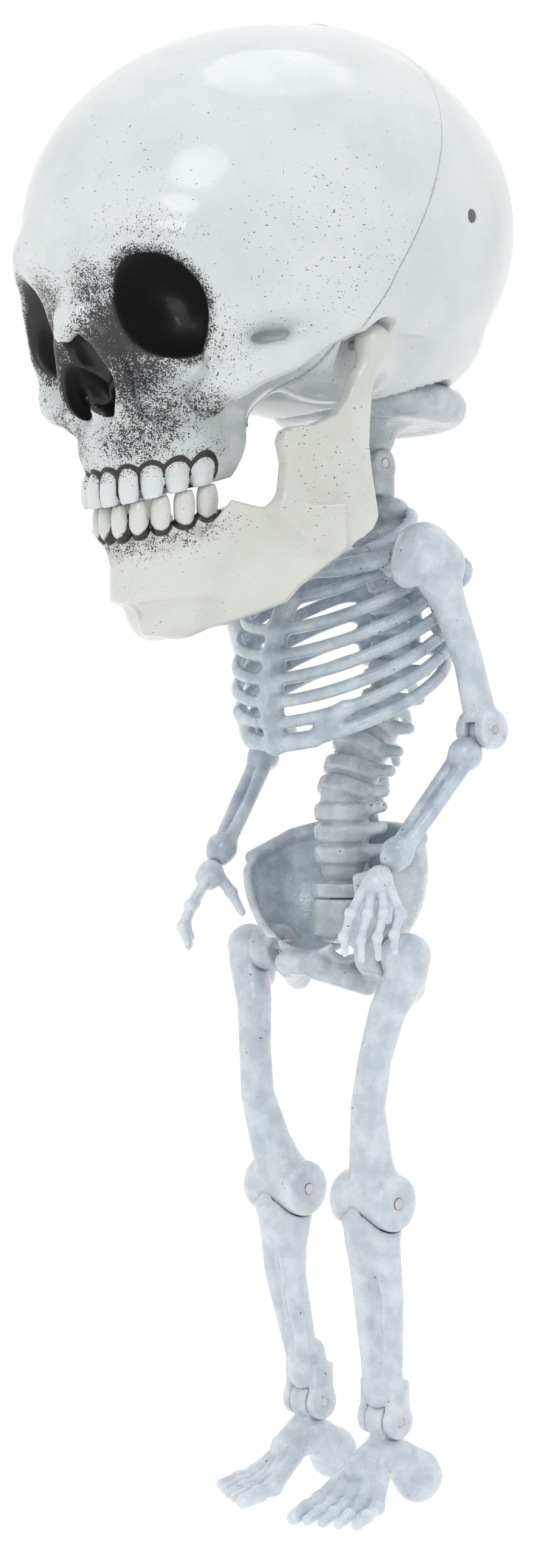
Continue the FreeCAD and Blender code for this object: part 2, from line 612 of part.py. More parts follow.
def make_leg(side, name):
    hip = point("hip_out", "hip_depth", "hip_height")
    knee = point("knee_out", "knee_depth", "knee_height")
    ankle = point("ankle_out", "ankle_depth", "ankle_height")
    at_knee, at_ankle = tuple(knee), tuple(ankle)
    half = value("knee_half_width")

    def spot(out, depth, height):
        return Vector(side * out, depth, height)

    shaft = [spot(38.5, 4.5, -321), spot(32.5, 1.5, -334), spot(29.5, -1, -349), spot(27, -2, -366),
             spot(24.5, 2, -383), spot(22.5, 5, -392)]
    thigh = bone(shaft, ["7", "femur_radius + 0.3", "femur_radius - 0.2", "femur_radius + 0.1",
                         "femur_radius + 1.4", "8.4"])
    thigh += [ball(spot(*hip), "7.6"), hip_line(side, 31.5, hip.x, "6.4"),
              hinge_line(side, *at_knee, -half, half, "knee_radius")]
    slot = hinge_line(side, *at_knee, -2.9, 2.9, "knee_radius - 2")
    mouth = side_block(side, (knee.x - 2.9, knee.y - 4.9, knee.z - 14), (knee.x + 2.9, knee.y + 16, knee.z + 2.5))
    bore = hinge_line(side, *at_knee, -15, 15, "knee_pin + pin_gap")
    peg_bore = hip_line(side, 20, 40.5, "hip_peg + pin_gap")
    front_mouth = side_block(side, (knee.x - 2.9, knee.y - 16, knee.z - 14), (knee.x + 2.9, knee.y, knee.z - 3.4))
    rear_mouth = side_block(side, (knee.x - 2.9, knee.y + 3, knee.z), (knee.x + 2.9, knee.y + 16, knee.z + 9.5))
    cup_room = hip_line(side, 15, 31.4, "8.8")
    thigh_cuts = [slot, mouth, front_mouth, rear_mouth, bore, peg_bore, cup_room]
    node("thigh_" + name, cut(fuse(thigh), thigh_cuts))
    node("knee_pin_" + name, hinge_line(side, *at_knee, -half, half, "knee_pin"))

    plateau = rod(spot(knee.x, knee.y, knee.z - 16), spot(knee.x, knee.y, knee.z - 4), "9.4", "11.2")
    shin = [plateau, hinge_line(side, *at_knee, -2.5, 2.5, "knee_radius - 2.4"),
            side_block(side, (knee.x - 2.5, knee.y - 4.5, knee.z - 12), (knee.x + 2.5, knee.y + 4.5, knee.z))]
    tibia = [spot(18, 5, -411), spot(17.6, 6.5, -429), spot(15.8, 12, -460)]
    fibula = [spot(26.6, 6, -411), spot(28.6, 8, -429), spot(23.4, 13.5, -460)]
    shin += bone(tibia, ["shin_radius + 2", "shin_radius + 0.3", "shin_radius - 0.6"])
    shin += bone(fibula, ["shin_radius + 1.4", "shin_radius - 0.2", "shin_radius - 0.6"])
    web = [spot(22, 6, -413), spot(23, 7.5, -429), spot(19.4, 13, -460)]
    shin += bone(web, ["5", "3", "3.4"])
    cuff = [hinge_line(side, *at_ankle, -7.8, -4.2, "ankle_radius - 0.4"),
            hinge_line(side, *at_ankle, 4.2, 7.8, "ankle_radius - 0.4")]
    for inner, outer in ((-7.8, -4.2), (4.2, 7.8)):
        cuff.append(side_block(side, (ankle.x + inner, ankle.y - 4.6, ankle.z), (ankle.x + outer, ankle.y + 4.6, -459)))
    yoke = rod(spot(ankle.x, ankle.y - 0.5, -464.6), spot(ankle.x, ankle.y - 0.5, -457), "7.6", "6.2")
    shin += cuff + [yoke]
    knee_room = [hinge_line(side, *at_knee, 2.5, 16, "knee_radius + joint_gap"),
                 hinge_line(side, *at_knee, -16, -2.5, "knee_radius + joint_gap")]
    knee_back = side_block(side, (knee.x - 16, knee.y + 8.6, knee.z - 12), (knee.x + 16, knee.y + 16, knee.z))
    shin_cuts = knee_room + [
        knee_back,
        hinge_line(side, *at_ankle, -4.2, 4.2, "ankle_radius + joint_gap"),
        hinge_line(side, *at_ankle, -12, 12, "ankle_pin"), hinge_line(side, *at_knee, -15, 15, "knee_pin")]
    node("shin_" + name, cut(fuse(shin), shin_cuts))
    node("ankle_pin_" + name, hinge_line(side, *at_ankle, -7.6, 7.6, "ankle_pin"))

    sole = value("sole_height")
    foot = [hinge_line(side, *at_ankle, -3.8, 3.8, "ankle_radius")]
    foot += bone([spot(18.5, 15, -480), spot(18.8, 12, -486), spot(18, 3, -489)], ["4", "7.2", "6"])
    foot += bone([spot(19, 16, -485), spot(20.5, 29, -495.6)], ["6.5", "8.8"])
    foot.append(rod(spot(20.5, 29, sole), spot(20.5, 29, sole + 4), "5.6"))
    for toe, reach in enumerate((-22, -21, -19, -16.5, -13.5)):
        base = spot(13.5 + 2.6 * toe, 3 + 1.2 * toe, -490.5)
        knuckle = spot(11.5 + 4.6 * toe, reach + 13, sole + 5.4)
        tip = spot(12.5 + 5.2 * toe, reach, sole + 2.6)
        big = 0.8 if toe == 0 else 0
        foot += bone([base, knuckle, tip], ["toe_radius + 1", "toe_radius + %g" % big, "toe_radius + %g" % (big * 0.6)])
    ground = block((-BIG, -BIG, sole - 60), (BIG, BIG, sole))
    cuff_room = [hinge_line(side, *at_ankle, -12, -3.8, "ankle_radius + joint_gap"),
                 hinge_line(side, *at_ankle, 3.8, 12, "ankle_radius + joint_gap")]
    node("foot_" + name, cut(fuse(foot), [ground, hinge_line(side, *at_ankle, -12, 12, "ankle_pin + pin_gap")]
                             + cuff_room))


make_skull()
make_jaw()
make_neck()
make_ribcage()
make_spine()
make_pelvis()
for side, name in ((LEFT, "left"), (RIGHT, "right")):
    make_arm(side, name)
    make_leg(side, name)
doc.recompute()

failed = [item.Label for item in doc.Objects if "Invalid" in item.State or "Error" in item.State]
if failed:
    raise RuntimeError("these failed to build: %s" % ", ".join(failed))
os.makedirs("parts", exist_ok=True)
for item in nodes:
    if item.Shape.isNull() or not item.Shape.isValid():
        raise RuntimeError("%s is not a valid solid" % item.Label)
    print("%-20s %d solid(s) %9.0f mm3" % (item.Label, len(item.Shape.Solids), item.Shape.Volume))
    item.Shape.exportStep("parts/%s.step" % item.Label)
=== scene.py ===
"""Looks of the skeleton figure: every visible piece is sculpted from smooth forms and rides on its CAD body.

Lengths are millimetres in the row frame until the meshes are made, which are in metres.
"""

import math

import bpy
import numpy as np
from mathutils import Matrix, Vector

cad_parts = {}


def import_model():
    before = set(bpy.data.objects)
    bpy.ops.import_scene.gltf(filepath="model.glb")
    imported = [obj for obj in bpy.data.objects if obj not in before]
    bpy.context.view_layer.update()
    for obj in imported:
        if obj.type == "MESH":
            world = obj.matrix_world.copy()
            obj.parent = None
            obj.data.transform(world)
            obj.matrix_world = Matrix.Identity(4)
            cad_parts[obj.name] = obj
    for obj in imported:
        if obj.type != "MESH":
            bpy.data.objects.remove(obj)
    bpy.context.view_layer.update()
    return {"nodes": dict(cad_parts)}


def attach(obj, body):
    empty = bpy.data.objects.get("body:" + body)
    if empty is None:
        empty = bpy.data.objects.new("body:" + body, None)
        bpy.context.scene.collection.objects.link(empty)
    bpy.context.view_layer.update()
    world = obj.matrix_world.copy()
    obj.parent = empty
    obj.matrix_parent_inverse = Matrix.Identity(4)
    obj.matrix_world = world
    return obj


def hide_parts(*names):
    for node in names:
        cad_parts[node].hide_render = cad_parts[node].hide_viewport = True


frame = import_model()

COARSER = 1.0
MARGIN = 9.0
FAR = 60.0
LEFT, RIGHT = 1, -1
ACROSS, UP = (1, 0, 0), (0, 0, 1)


# ---------------------------------------------------------------- sculpting


def turn(x=0.0, y=0.0, z=0.0):
    """A rotation matrix about X, then Y, then Z, in degrees."""
    rows = np.eye(3)
    for axis, degrees in enumerate((x, y, z)):
        c, s = math.cos(math.radians(degrees)), math.sin(math.radians(degrees))
        step = np.eye(3)
        first, second = (axis + 1) % 3, (axis + 2) % 3
        step[first, first] = step[second, second] = c
        step[first, second], step[second, first] = -s, s
        rows = step @ rows
    return rows


class Part:
    """One simple form: a measure of signed distance and the ball that holds it."""

    def __init__(self, measure, centre, reach, paired=False):
        self.measure, self.centre, self.reach, self.paired = measure, np.array(centre, float), reach, paired

    def near(self, points):
        away = points - self.centre
        return np.einsum("ij,ij->i", away, away) < (self.reach + MARGIN) ** 2


def egg(centre, radii, tilt=None, paired=False):
    centre, radii = np.array(centre, float), np.array(radii, float)

    def measure(points):
        local = points - centre
        if tilt is not None:
            local = local @ tilt
        inner = np.linalg.norm(local / radii, axis=1)
        slope = np.linalg.norm(local / radii ** 2, axis=1) + 1e-9
        return inner * (inner - 1) / slope

    return Part(measure, centre, radii.max(), paired)


def limb(points, radii, flat=None, squash=1.0, paired=False):
    """A tapering rod through the points; flat is the direction it is thinned along, by squash."""
    points, radii = np.array(points, float), np.array(radii, float)
    way = None if flat is None else np.array(flat, float) / np.linalg.norm(flat)

    def measure(where):
        best = np.full(len(where), FAR)
        for start, end, first, last in zip(points, points[1:], radii, radii[1:]):
            along = end - start
            share = np.clip((where - start) @ along / (along @ along), 0, 1)
            away = where - start - share[:, None] * along
            radius = first + (last - first) * share
            if way is None:
                distance = np.linalg.norm(away, axis=1) - radius
            else:
                across = away @ way
                rest = np.sqrt(np.maximum(np.einsum("ij,ij->i", away, away) - across ** 2, 0))
                inner = np.sqrt((rest / radius) ** 2 + (across / (radius * squash)) ** 2)
                slope = np.sqrt((rest / radius ** 2) ** 2 + (across / (radius * squash) ** 2) ** 2) + 1e-9
                distance = inner * (inner - 1) / slope
            best = np.minimum(best, distance)
        return best

    middle = (points.min(0) + points.max(0)) / 2
    reach = max(np.linalg.norm(point - middle) + radius for point, radius in zip(points, radii))
    return Part(measure, middle, reach, paired)


def drum(centre, axis, radius, half, soft=0.4, paired=False):
    """A round disc or pin along an axis, with softened edges."""
    centre, axis = np.array(centre, float), np.array(axis, float) / np.linalg.norm(axis)

    def measure(points):
        local = points - centre
        along = local @ axis
        out = np.sqrt(np.maximum(np.einsum("ij,ij->i", local, local) - along ** 2, 0)) - (radius - soft)
        up = np.abs(along) - (half - soft)
        outside = np.sqrt(np.maximum(out, 0) ** 2 + np.maximum(up, 0) ** 2)
        return outside + np.minimum(np.maximum(out, up), 0) - soft

    return Part(measure, centre, math.hypot(radius, half), paired)


def slab(centre, halves, tilt=None, soft=0.5, paired=False):
    centre, halves = np.array(centre, float), np.array(halves, float)

    def measure(points):
        local = points - centre
        if tilt is not None:
            local = local @ tilt
        over = np.abs(local) - (halves - soft)
        return np.linalg.norm(np.maximum(over, 0), axis=1) + np.minimum(over.max(1), 0) - soft

    return Part(measure, centre, np.linalg.norm(halves), paired)


def ring(centre, radius, thick, tilt=None):
    """A round hoop lying flat before it is tilted."""
    centre = np.array(centre, float)

    def measure(points):
        local = points - centre
        if tilt is not None:
            local = local @ tilt
        return np.hypot(np.hypot(local[:, 0], local[:, 1]) - radius, local[:, 2]) - thick

    return Part(measure, centre, radius + thick)


def plate(outline, out, lean, half, soft=1.2):
    """A flat plate with a (depth, height) outline, set out on both sides and leaning outwards to the back."""
    outline = np.array(outline, float)

    def measure(points):
        depth, height = points[:, 1], points[:, 2]
        nearest = np.full(len(points), 1e9)
        inside = np.ones(len(points))
        for (y0, z0), (y1, z1) in zip(outline, np.roll(outline, -1, 0)):
            ey, ez = y1 - y0, z1 - z0
            wy, wz = depth - y0, height - z0
            share = np.clip((wy * ey + wz * ez) / (ey * ey + ez * ez), 0, 1)
            nearest = np.minimum(nearest, (wy - share * ey) ** 2 + (wz - share * ez) ** 2)
            above, below = depth >= y0, depth >= y1
            side = ey * wz - ez * wy
            crossing = (above & ~below & (side < 0)) | (~above & below & (side > 0))
            inside = np.where(crossing, -inside, inside)
        flat = inside * np.sqrt(nearest) + soft
        thick = np.abs(points[:, 0] - out - lean * (depth + 25)) * math.cos(math.atan(lean)) - (half - soft)
        outside = np.sqrt(np.maximum(flat, 0) ** 2 + np.maximum(thick, 0) ** 2)
        return outside + np.minimum(np.maximum(flat, thick), 0) - soft

    middle = np.array([out, outline[:, 0].mean(), outline[:, 1].mean()])
    reach = max(math.hypot(y - middle[1], z - middle[2]) for y, z in outline) + 12
    return Part(measure, middle, reach, True)


def arch_wall(depth, half_width, length, half_thick, low, high, rear, soft=1.5):
    """A wall that follows an ellipse in plan, between two heights that vary with depth."""
    def measure(points):
        x, y, z = points.T
        y = y - depth
        inner = np.hypot(x / half_width, y / length)
        slope = np.hypot(x / half_width ** 2, y / length ** 2) + 1e-9
        across = np.abs(inner * (inner - 1) / slope) - (half_thick - soft)
        bottom, top = low(points[:, 1]), high(points[:, 1])
        up = np.abs(z - (bottom + top) / 2) - ((top - bottom) / 2 - soft)
        outside = np.sqrt(np.maximum(across, 0) ** 2 + np.maximum(up, 0) ** 2)
        body = outside + np.minimum(np.maximum(across, up), 0) - soft
        return np.maximum(body, points[:, 1] - rear)

    return Part(measure, (0, depth - length / 2, (low(-60) + high(-60)) / 2), length + half_width)


def behind(point, normal):
    """Everything on the side of a plane that its normal points away from."""
    point, normal = np.array(point, float), np.array(normal, float) / np.linalg.norm(normal)
    return Part(lambda points: (points - point) @ normal, (0, 0, 0), 1e6)


class Form:
    """A shape made by smoothly joining and carving parts in turn."""

    def __init__(self):
        self.steps = []

    def _add(self, mode, parts, blend):
        self.steps += [(mode, part, blend) for part in parts]
        return self

    def join(self, *parts, blend=0.0):
        return self._add("join", parts, blend)

    def carve(self, *parts, blend=0.0):
        return self._add("carve", parts, blend)

    def keep(self, *parts, blend=0.0):
        return self._add("keep", parts, blend)

    def copy(self):
        twin = Form()
        twin.steps = list(self.steps)
        return twin

    def __call__(self, points):
        distance = np.full(len(points), FAR)
        folded = points * 1.0
        folded[:, 0] = np.abs(folded[:, 0])
        for mode, part, blend in self.steps:
            where = folded if part.paired else points
            near = np.flatnonzero(part.near(where))
            if not len(near):
                continue
            own, here = part.measure(where[near]), distance[near]
            if mode != "join":
                own, here = (-own if mode == "keep" else own), -here
            overlap = np.maximum(blend - np.abs(own - here), 0) / blend if blend else 0.0
            result = np.minimum(own, here) - overlap ** 2 * blend / 4
            distance[near] = result if mode == "join" else -result
        return distance


CORNERS = np.array([(i, j, k) for i in (0, 1) for j in (0, 1) for k in (0, 1)])
EDGES = [(a, b) for a in range(8) for b in range(a + 1, 8) if np.abs(CORNERS[a] - CORNERS[b]).sum() == 1]


def skin(form, low, high, step):
    """Points and quads of a form's surface, found on a grid that is only fine near it."""
    low, high, block = np.array(low, float), np.array(high, float), 4
    blocks = np.ceil((high - low) / (step * block)).astype(int) + 1
    index = np.stack(np.meshgrid(*[np.arange(count) for count in blocks], indexing="ij"), -1).reshape(-1, 3)
    centres = low + (index * block + (block - 1) / 2) * step
    rough = form(centres)
    values = rough.reshape(blocks)
    for axis in range(3):
        values = np.repeat(values, block, axis)
    values = values.astype(np.float32)
    close = index[np.abs(rough) < step * block * 1.4 + 0.4]
    inside = np.stack(np.meshgrid(*[np.arange(block)] * 3, indexing="ij"), -1).reshape(-1, 3)
    cells = (close[:, None, :] * block + inside[None]).reshape(-1, 3)
    for part in np.array_split(cells, max(1, len(cells) // 400000)):
        values[part[:, 0], part[:, 1], part[:, 2]] = form(low + part * step)
    solid = values < 0
    mixed = np.zeros(tuple(count - 1 for count in solid.shape), bool)
    first = solid[:-1, :-1, :-1]
    for i, j, k in CORNERS[1:]:
        mixed |= first != solid[i:solid.shape[0] - 1 + i, j:solid.shape[1] - 1 + j, k:solid.shape[2] - 1 + k]
    cell = np.argwhere(mixed)
    number = np.full(mixed.shape, -1, np.int32)
    number[tuple(cell.T)] = np.arange(len(cell))
    corner = np.stack([values[tuple((cell + offset).T)] for offset in CORNERS], 1)
    total, count = np.zeros((len(cell), 3)), np.zeros(len(cell))
    for a, b in EDGES:
        cut = (corner[:, a] < 0) != (corner[:, b] < 0)
        share = corner[cut, a] / (corner[cut, a] - corner[cut, b])
        total[cut] += CORNERS[a] + share[:, None] * (CORNERS[b] - CORNERS[a])
        count[cut] += 1
    points = low + (cell + total / count[:, None]) * step
    quads = []
    for axis in range(3):
        one, two = (axis + 1) % 3, (axis + 2) % 3
        ahead = np.roll(solid, -1, axis)
        crossing = np.argwhere(solid != ahead)
        crossing = crossing[(crossing.min(1) > 0) & (crossing < np.array(mixed.shape)).all(1)]
        unit_one, unit_two = np.eye(3, dtype=int)[one], np.eye(3, dtype=int)[two]
        ring_cells = [crossing - unit_one - unit_two, crossing - unit_two, crossing, crossing - unit_one]
        quad = np.stack([number[tuple(c.T)] for c in ring_cells], 1)
        outward = solid[tuple(crossing.T)]
        quads.append(np.where(outward[:, None], quad, quad[:, ::-1]))
    quads = np.vstack(quads)
    quads = quads[(quads >= 0).all(1)]
    for _ in range(2):
        here, small = form(points), 0.15
        slope = np.stack([form(points + small * np.eye(3)[axis]) - here for axis in range(3)], 1) / small
        steep = np.maximum(np.einsum("ij,ij->i", slope, slope), 0.2)
        move = -(here / steep)[:, None] * slope
        length = np.linalg.norm(move, axis=1)
        points = points + move * np.minimum(1, step * 0.6 / (length + 1e-9))[:, None]
    return points, quads


def piece(name, form, low, high, step, body, nodes, material, paint=None):
    """Makes one visible piece from a form and sets it on its body in place of its CAD nodes."""
    points, quads = skin(form, low, high, step * COARSER)
    return set_piece(name, points, quads, body, nodes, material, paint)


def set_piece(name, points, quads, body, nodes, material, paint=None):
    mesh = bpy.data.meshes.new(name)
    mesh.from_pydata((points * 0.001).tolist(), [], quads.tolist())
    mesh.polygons.foreach_set("use_smooth", [True] * len(mesh.polygons))
    for key, amount in (paint(points) if paint else {}).items():
        layer = mesh.attributes.new(key, "FLOAT", "POINT")
        layer.data.foreach_set("value", np.asarray(amount, np.float32))
    mesh.update()
    made = bpy.data.objects.new(name, mesh)
    bpy.context.scene.collection.objects.link(made)
    mesh.materials.append(material)
    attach(made, body)
    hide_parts(*nodes)
    return made


# ---------------------------------------------------------------- skull and jaw


def smooth_step(low, high, amount):
    share = np.clip((amount - low) / (high - low), 0, 1)
    return share * share * (3 - 2 * share)


BITE_FRONT, BITE_HEIGHT, BITE_RISE = -97.0, -172.0, 0.30
JAW_AXIS = (-25.0, -117.0)
NECK_DEPTH, SEAT_HEIGHT, NOD_HEIGHT = 26.0, -121.0, -147.0
TOOTH_HALVES = (3.2, 3.35, 3.6, 3.9, 4.1)


def bite(depth):
    """The height of the plane where the teeth meet."""
    return BITE_HEIGHT + BITE_RISE * (depth - BITE_FRONT)


def tooth_places(radius_x, radius_y, middle):
    """The middle, facing angle and half width of each of the ten teeth on one dental arch."""
    places = []
    for step in range(10):
        angle = math.radians(17.5 * (step - 4.5))
        place = (radius_x * math.sin(angle), middle - radius_y * math.cos(angle))
        facing = math.degrees(math.atan2(radius_y * math.sin(angle), radius_x * math.cos(angle)))
        places.append((place, facing, TOOTH_HALVES[int(abs(step - 4.5))]))
    return places


def upper_crowns():
    return [((across, depth, bite(depth) + 4.6), facing, (half, 3.3, 6.6))
            for (across, depth), facing, half in tooth_places(21.2, 29, -64.7)]


def lower_crowns():
    return [((across, depth, bite(depth) - 4.5), facing, (0.9 * half, 3.0, 6.4))
            for (across, depth), facing, half in tooth_places(20.6, 27.4, -62)]


def crown(place, facing, halves):
    return egg(place, halves, turn(z=facing))


def root(place, facing, length, reach, thick):
    """The ridge that a tooth's root raises on the gum, running up or down from its crown."""
    inward = np.array((-math.sin(math.radians(facing)), math.cos(math.radians(facing)), 0))
    start = np.array(place) + inward * 0.9 + (0, 0, math.copysign(4, length))
    return limb([start, start + inward * reach + (0, 0, length)], [thick, 0.5 * thick])


def orbit():
    return [egg((29.9, -98, -111.5), (13.6, 24, 14), turn(x=-6, z=22), paired=True),
            egg((33.6, -95, -113.5), (11.4, 22, 12.6), turn(x=-6, z=22), paired=True),
            egg((27.8, -97, -107), (11.2, 22, 9.6), turn(x=-6, z=22), paired=True)]


def nose_hole():
    return [egg((0, -104, -127), (6.6, 14, 10.6), turn(x=-14), paired=True),
            egg((5.4, -101, -133.5), (6.9, 16, 8.0), turn(x=-14), paired=True)]


def nose_bridge():
    return limb([(0, -98.5, -104), (0, -103.5, -110.5), (0, -109.2, -117.6)], [5.4, 4.6, 3.3])


def skull_form():
    form = Form()
    form.join(egg((0, -19.4, -74.1), (69, 93.2, 68.1), turn(x=9.8)))
    form.keep(behind((0, 0, -113), (0, 0, -1)), blend=6)
    form.join(egg((0, 6, -53.5), (42, 60, 52)), blend=8)
    form.join(egg((0, -64, -106), (42.5, 41, 38)), blend=9)
    brow = [(6, -105, -95), (22, -103, -90), (36, -92, -92), (41.5, -84, -102), (42, -81, -115)]
    form.join(limb(brow, [7, 7, 6.5, 5.5, 5.3], paired=True), blend=8)
    cheek = [(41, -85, -103), (41.5, -81, -117), (41, -76.5, -131), (31, -77, -138)]
    form.join(limb(cheek, [5.2, 6, 7.2, 6], paired=True), blend=7)
    arch = [(43, -76, -131), (50, -60, -125), (53, -48, -117), (54, -38, -112), (55, -28, -108.5),
            (57, -18, -102)]
    form.join(limb(arch, [6.6, 5, 4.5, 4.3, 4.2, 4], paired=True), blend=5)
    temple = [(45, -70, -109), (51, -50, -104.5), (56, -33, -100)]
    form.join(limb(temple, [7.5, 8.8, 6.5], paired=True), blend=7)
    form.join(egg((0, -67, -150), (24.5, 31, 20)), blend=8)
    form.join(limb([(0, -96.4, -98), (0, -97.5, -106), (0, -107.6, -115.6)], [6.4, 4.8, 3.2]), blend=6)
    nose_side = [(2.6, -106.5, -112.5), (9.2, -102, -119.5), (13.2, -97, -131), (12, -93.5, -142)]
    form.join(limb(nose_side, [3.4, 3.2, 3.2, 4], paired=True), blend=4)
    form.carve(egg((27.5, -98, -142.5), (8.5, 9, 8), turn(z=30), paired=True), blend=6)
    form.carve(*orbit(), blend=3.2)
    form.carve(*nose_hole(), blend=1.4)
    form.join(nose_bridge(), blend=1.5)
    form.join(limb([(0, -90, -144), (0, -96.6, -139.9)], [3.6, 1.7]), blend=3)
    for place, facing, halves in upper_crowns():
        form.join(crown(place, facing, halves), blend=0.7)
        form.join(root(place, facing, 9.5, 1.8, 2.5), blend=2.6)
    form.carve(behind((0, BITE_FRONT, BITE_HEIGHT + 0.15), (0, -BITE_RISE, 1)))
    form.join(egg((0, 8, -104), (50, 54, 30), turn(x=5)), blend=2.4)
    form.join(egg((30, -26, -112), (20, 26, 22), paired=True), blend=6)
    form.carve(drum((0, NECK_DEPTH, SEAT_HEIGHT - 25), UP, 35, 25, 1),
               drum((0, NECK_DEPTH, SEAT_HEIGHT), UP, 8.3, 14, 0.2),
               drum((0, NECK_DEPTH, SEAT_HEIGHT + 9), UP, 13, 6.2, 0.5))
    for sign in (LEFT, RIGHT):
        form.carve(drum((sign * 54, *JAW_AXIS), ACROSS, 7.2, 11, 0.8))
    form.carve(slab((54, JAW_AXIS[0] - 1, JAW_AXIS[1] - 14), (11, 8.5, 14), paired=True), blend=2)
    form.carve(drum((0, 0, 2), UP, 5.1, 4.05, 0.1), drum((0, 0, -2), UP, 4.1, 6, 0.2))
    form.carve(drum((70, 6.5, -74), ACROSS, 2.1, 6, 0.3, paired=True), blend=0.6)
    return form


SEAM_LEAN, SEAM_HALF_GAP = math.radians(25), 0.12
SEAM_POINT = (0, 18, 0)
SEAM_NORMAL = np.array((0, math.cos(SEAM_LEAN), -math.sin(SEAM_LEAN)))


def smudge(points, places):
    """Soft airbrushed blots: each has a place, a size and a strength."""
    total = np.zeros(len(points))
    for place, size, strength in places:
        away = np.linalg.norm((points - place) / size, axis=1)
        total = np.maximum(total, strength * smooth_step(1.25, 0.15, away))
    return total


def tooth_gaps(points, crowns, near_teeth):
    """How much dark paint lies round and between the teeth."""
    away = np.sort([crown(place, facing, halves).measure(points) for place, facing, halves in crowns], axis=0)
    round_crowns = smooth_step(0.10, 0.85, away[0]) * smooth_step(2.4, 1.3, away[0])
    between = smooth_step(1.1, 0.35, away[1] - away[0]) * smooth_step(1.8, 1.0, away[0])
    return np.maximum(round_crowns, between) * near_teeth


SKULL_BLOTS = (
    ((15, -101, -120), (18, 20, 18), 1.05), ((20, -97, -132), (20, 20, 16), 0.88),
    ((10, -103, -103), (14, 15, 15), 0.72), ((24, -90, -142), (22, 20, 16), 0.76),
    ((33, -82, -143), (17, 20, 14), 0.66), ((12, -90, -150), (22, 20, 14), 0.62),
    ((42, -82, -124), (15, 20, 17), 0.40), ((38, -60, -130), (14, 26, 13), 0.44),
    ((24, -99, -90), (30, 16, 13), 0.40))


def skull_paint(points):
    """Black in the sockets and nose, airbrush round them, dark gaps between the teeth, and flecks."""
    y, z = points[:, 1], points[:, 2]
    folded = points * 1.0
    folded[:, 0] = np.abs(folded[:, 0])
    eye = np.min([part.measure(folded) for part in orbit()], axis=0)
    nose = np.minimum(*[hole.measure(folded) for hole in nose_hole()])
    nose += 4 * smooth_step(1.2, 0.4, nose_bridge().measure(folded))
    black = np.maximum(smooth_step(1.7, 0.5, eye), smooth_step(1.0, 0.3, nose)) * smooth_step(-55, -70, y)
    soot = 0.80 * smooth_step(7.5, 0.2, eye) * smooth_step(-60, -78, y)
    soot = np.maximum(soot, 0.45 * smooth_step(3.4, -0.5, nose))
    soot = np.maximum(soot, smudge(folded, SKULL_BLOTS))
    above = z - bite(y)
    low_face = smooth_step(-50, -60, y) * smooth_step(17, 11, above)
    gum = smooth_step(24, 9, above) * smooth_step(5, 10, above) * smooth_step(-55, -66, y)
    soot = np.maximum(soot, 0.40 * gum)
    flecks = 0.10 + 0.55 * smooth_step(46, 10, np.linalg.norm(folded - (58, -52, -92), axis=1)) \
        + 0.30 * smooth_step(40, 12, np.linalg.norm(points - (22, -106, -78), axis=1))
    return {"black": black, "soot": soot, "groove": tooth_gaps(points, upper_crowns(), low_face),
            "flecks": flecks * smooth_step(-30, -60, z) * smooth_step(5, -25, y)}


WALL_POINT, WALL_NORMAL = np.array((6.5, -72.6)), np.array((0.6817, -0.7316))
WALL_ALONG = np.array((0.7316, 0.6817))


def jaw_wall(half_thick, soft=1.6):
    """The side of the jaw's body: a wall that runs back and outwards in plan and leans out as it rises."""
    low_line = ((0, -210.5), (18, -207), (38, -200), (43, -194.5), (55, -186), (60, -181))
    top_line = ((0, -186), (12, -180), (22, -169), (32, -171.5), (60, -170))

    def measure(points):
        flat, z = points[:, :2] - WALL_POINT, points[:, 2]
        along, across = flat @ WALL_ALONG, flat @ WALL_NORMAL
        lean = np.where(z < -190, 0.25 * (z + 190), 0.58 * np.minimum(z + 190, 21))
        side = np.abs(across - lean) / 1.12 - (half_thick - soft)
        low = np.interp(along, *zip(*low_line))
        top = np.interp(along, *zip(*top_line))
        up = np.abs(z - (low + top) / 2) - ((top - low) / 2 - soft)
        outside = np.sqrt(np.maximum(side, 0) ** 2 + np.maximum(up, 0) ** 2)
        body = outside + np.minimum(np.maximum(side, up), 0) - soft
        return np.maximum(body, np.maximum(along - 58, -along - 8))

    return Part(measure, (28, -52, -190), 52, True)


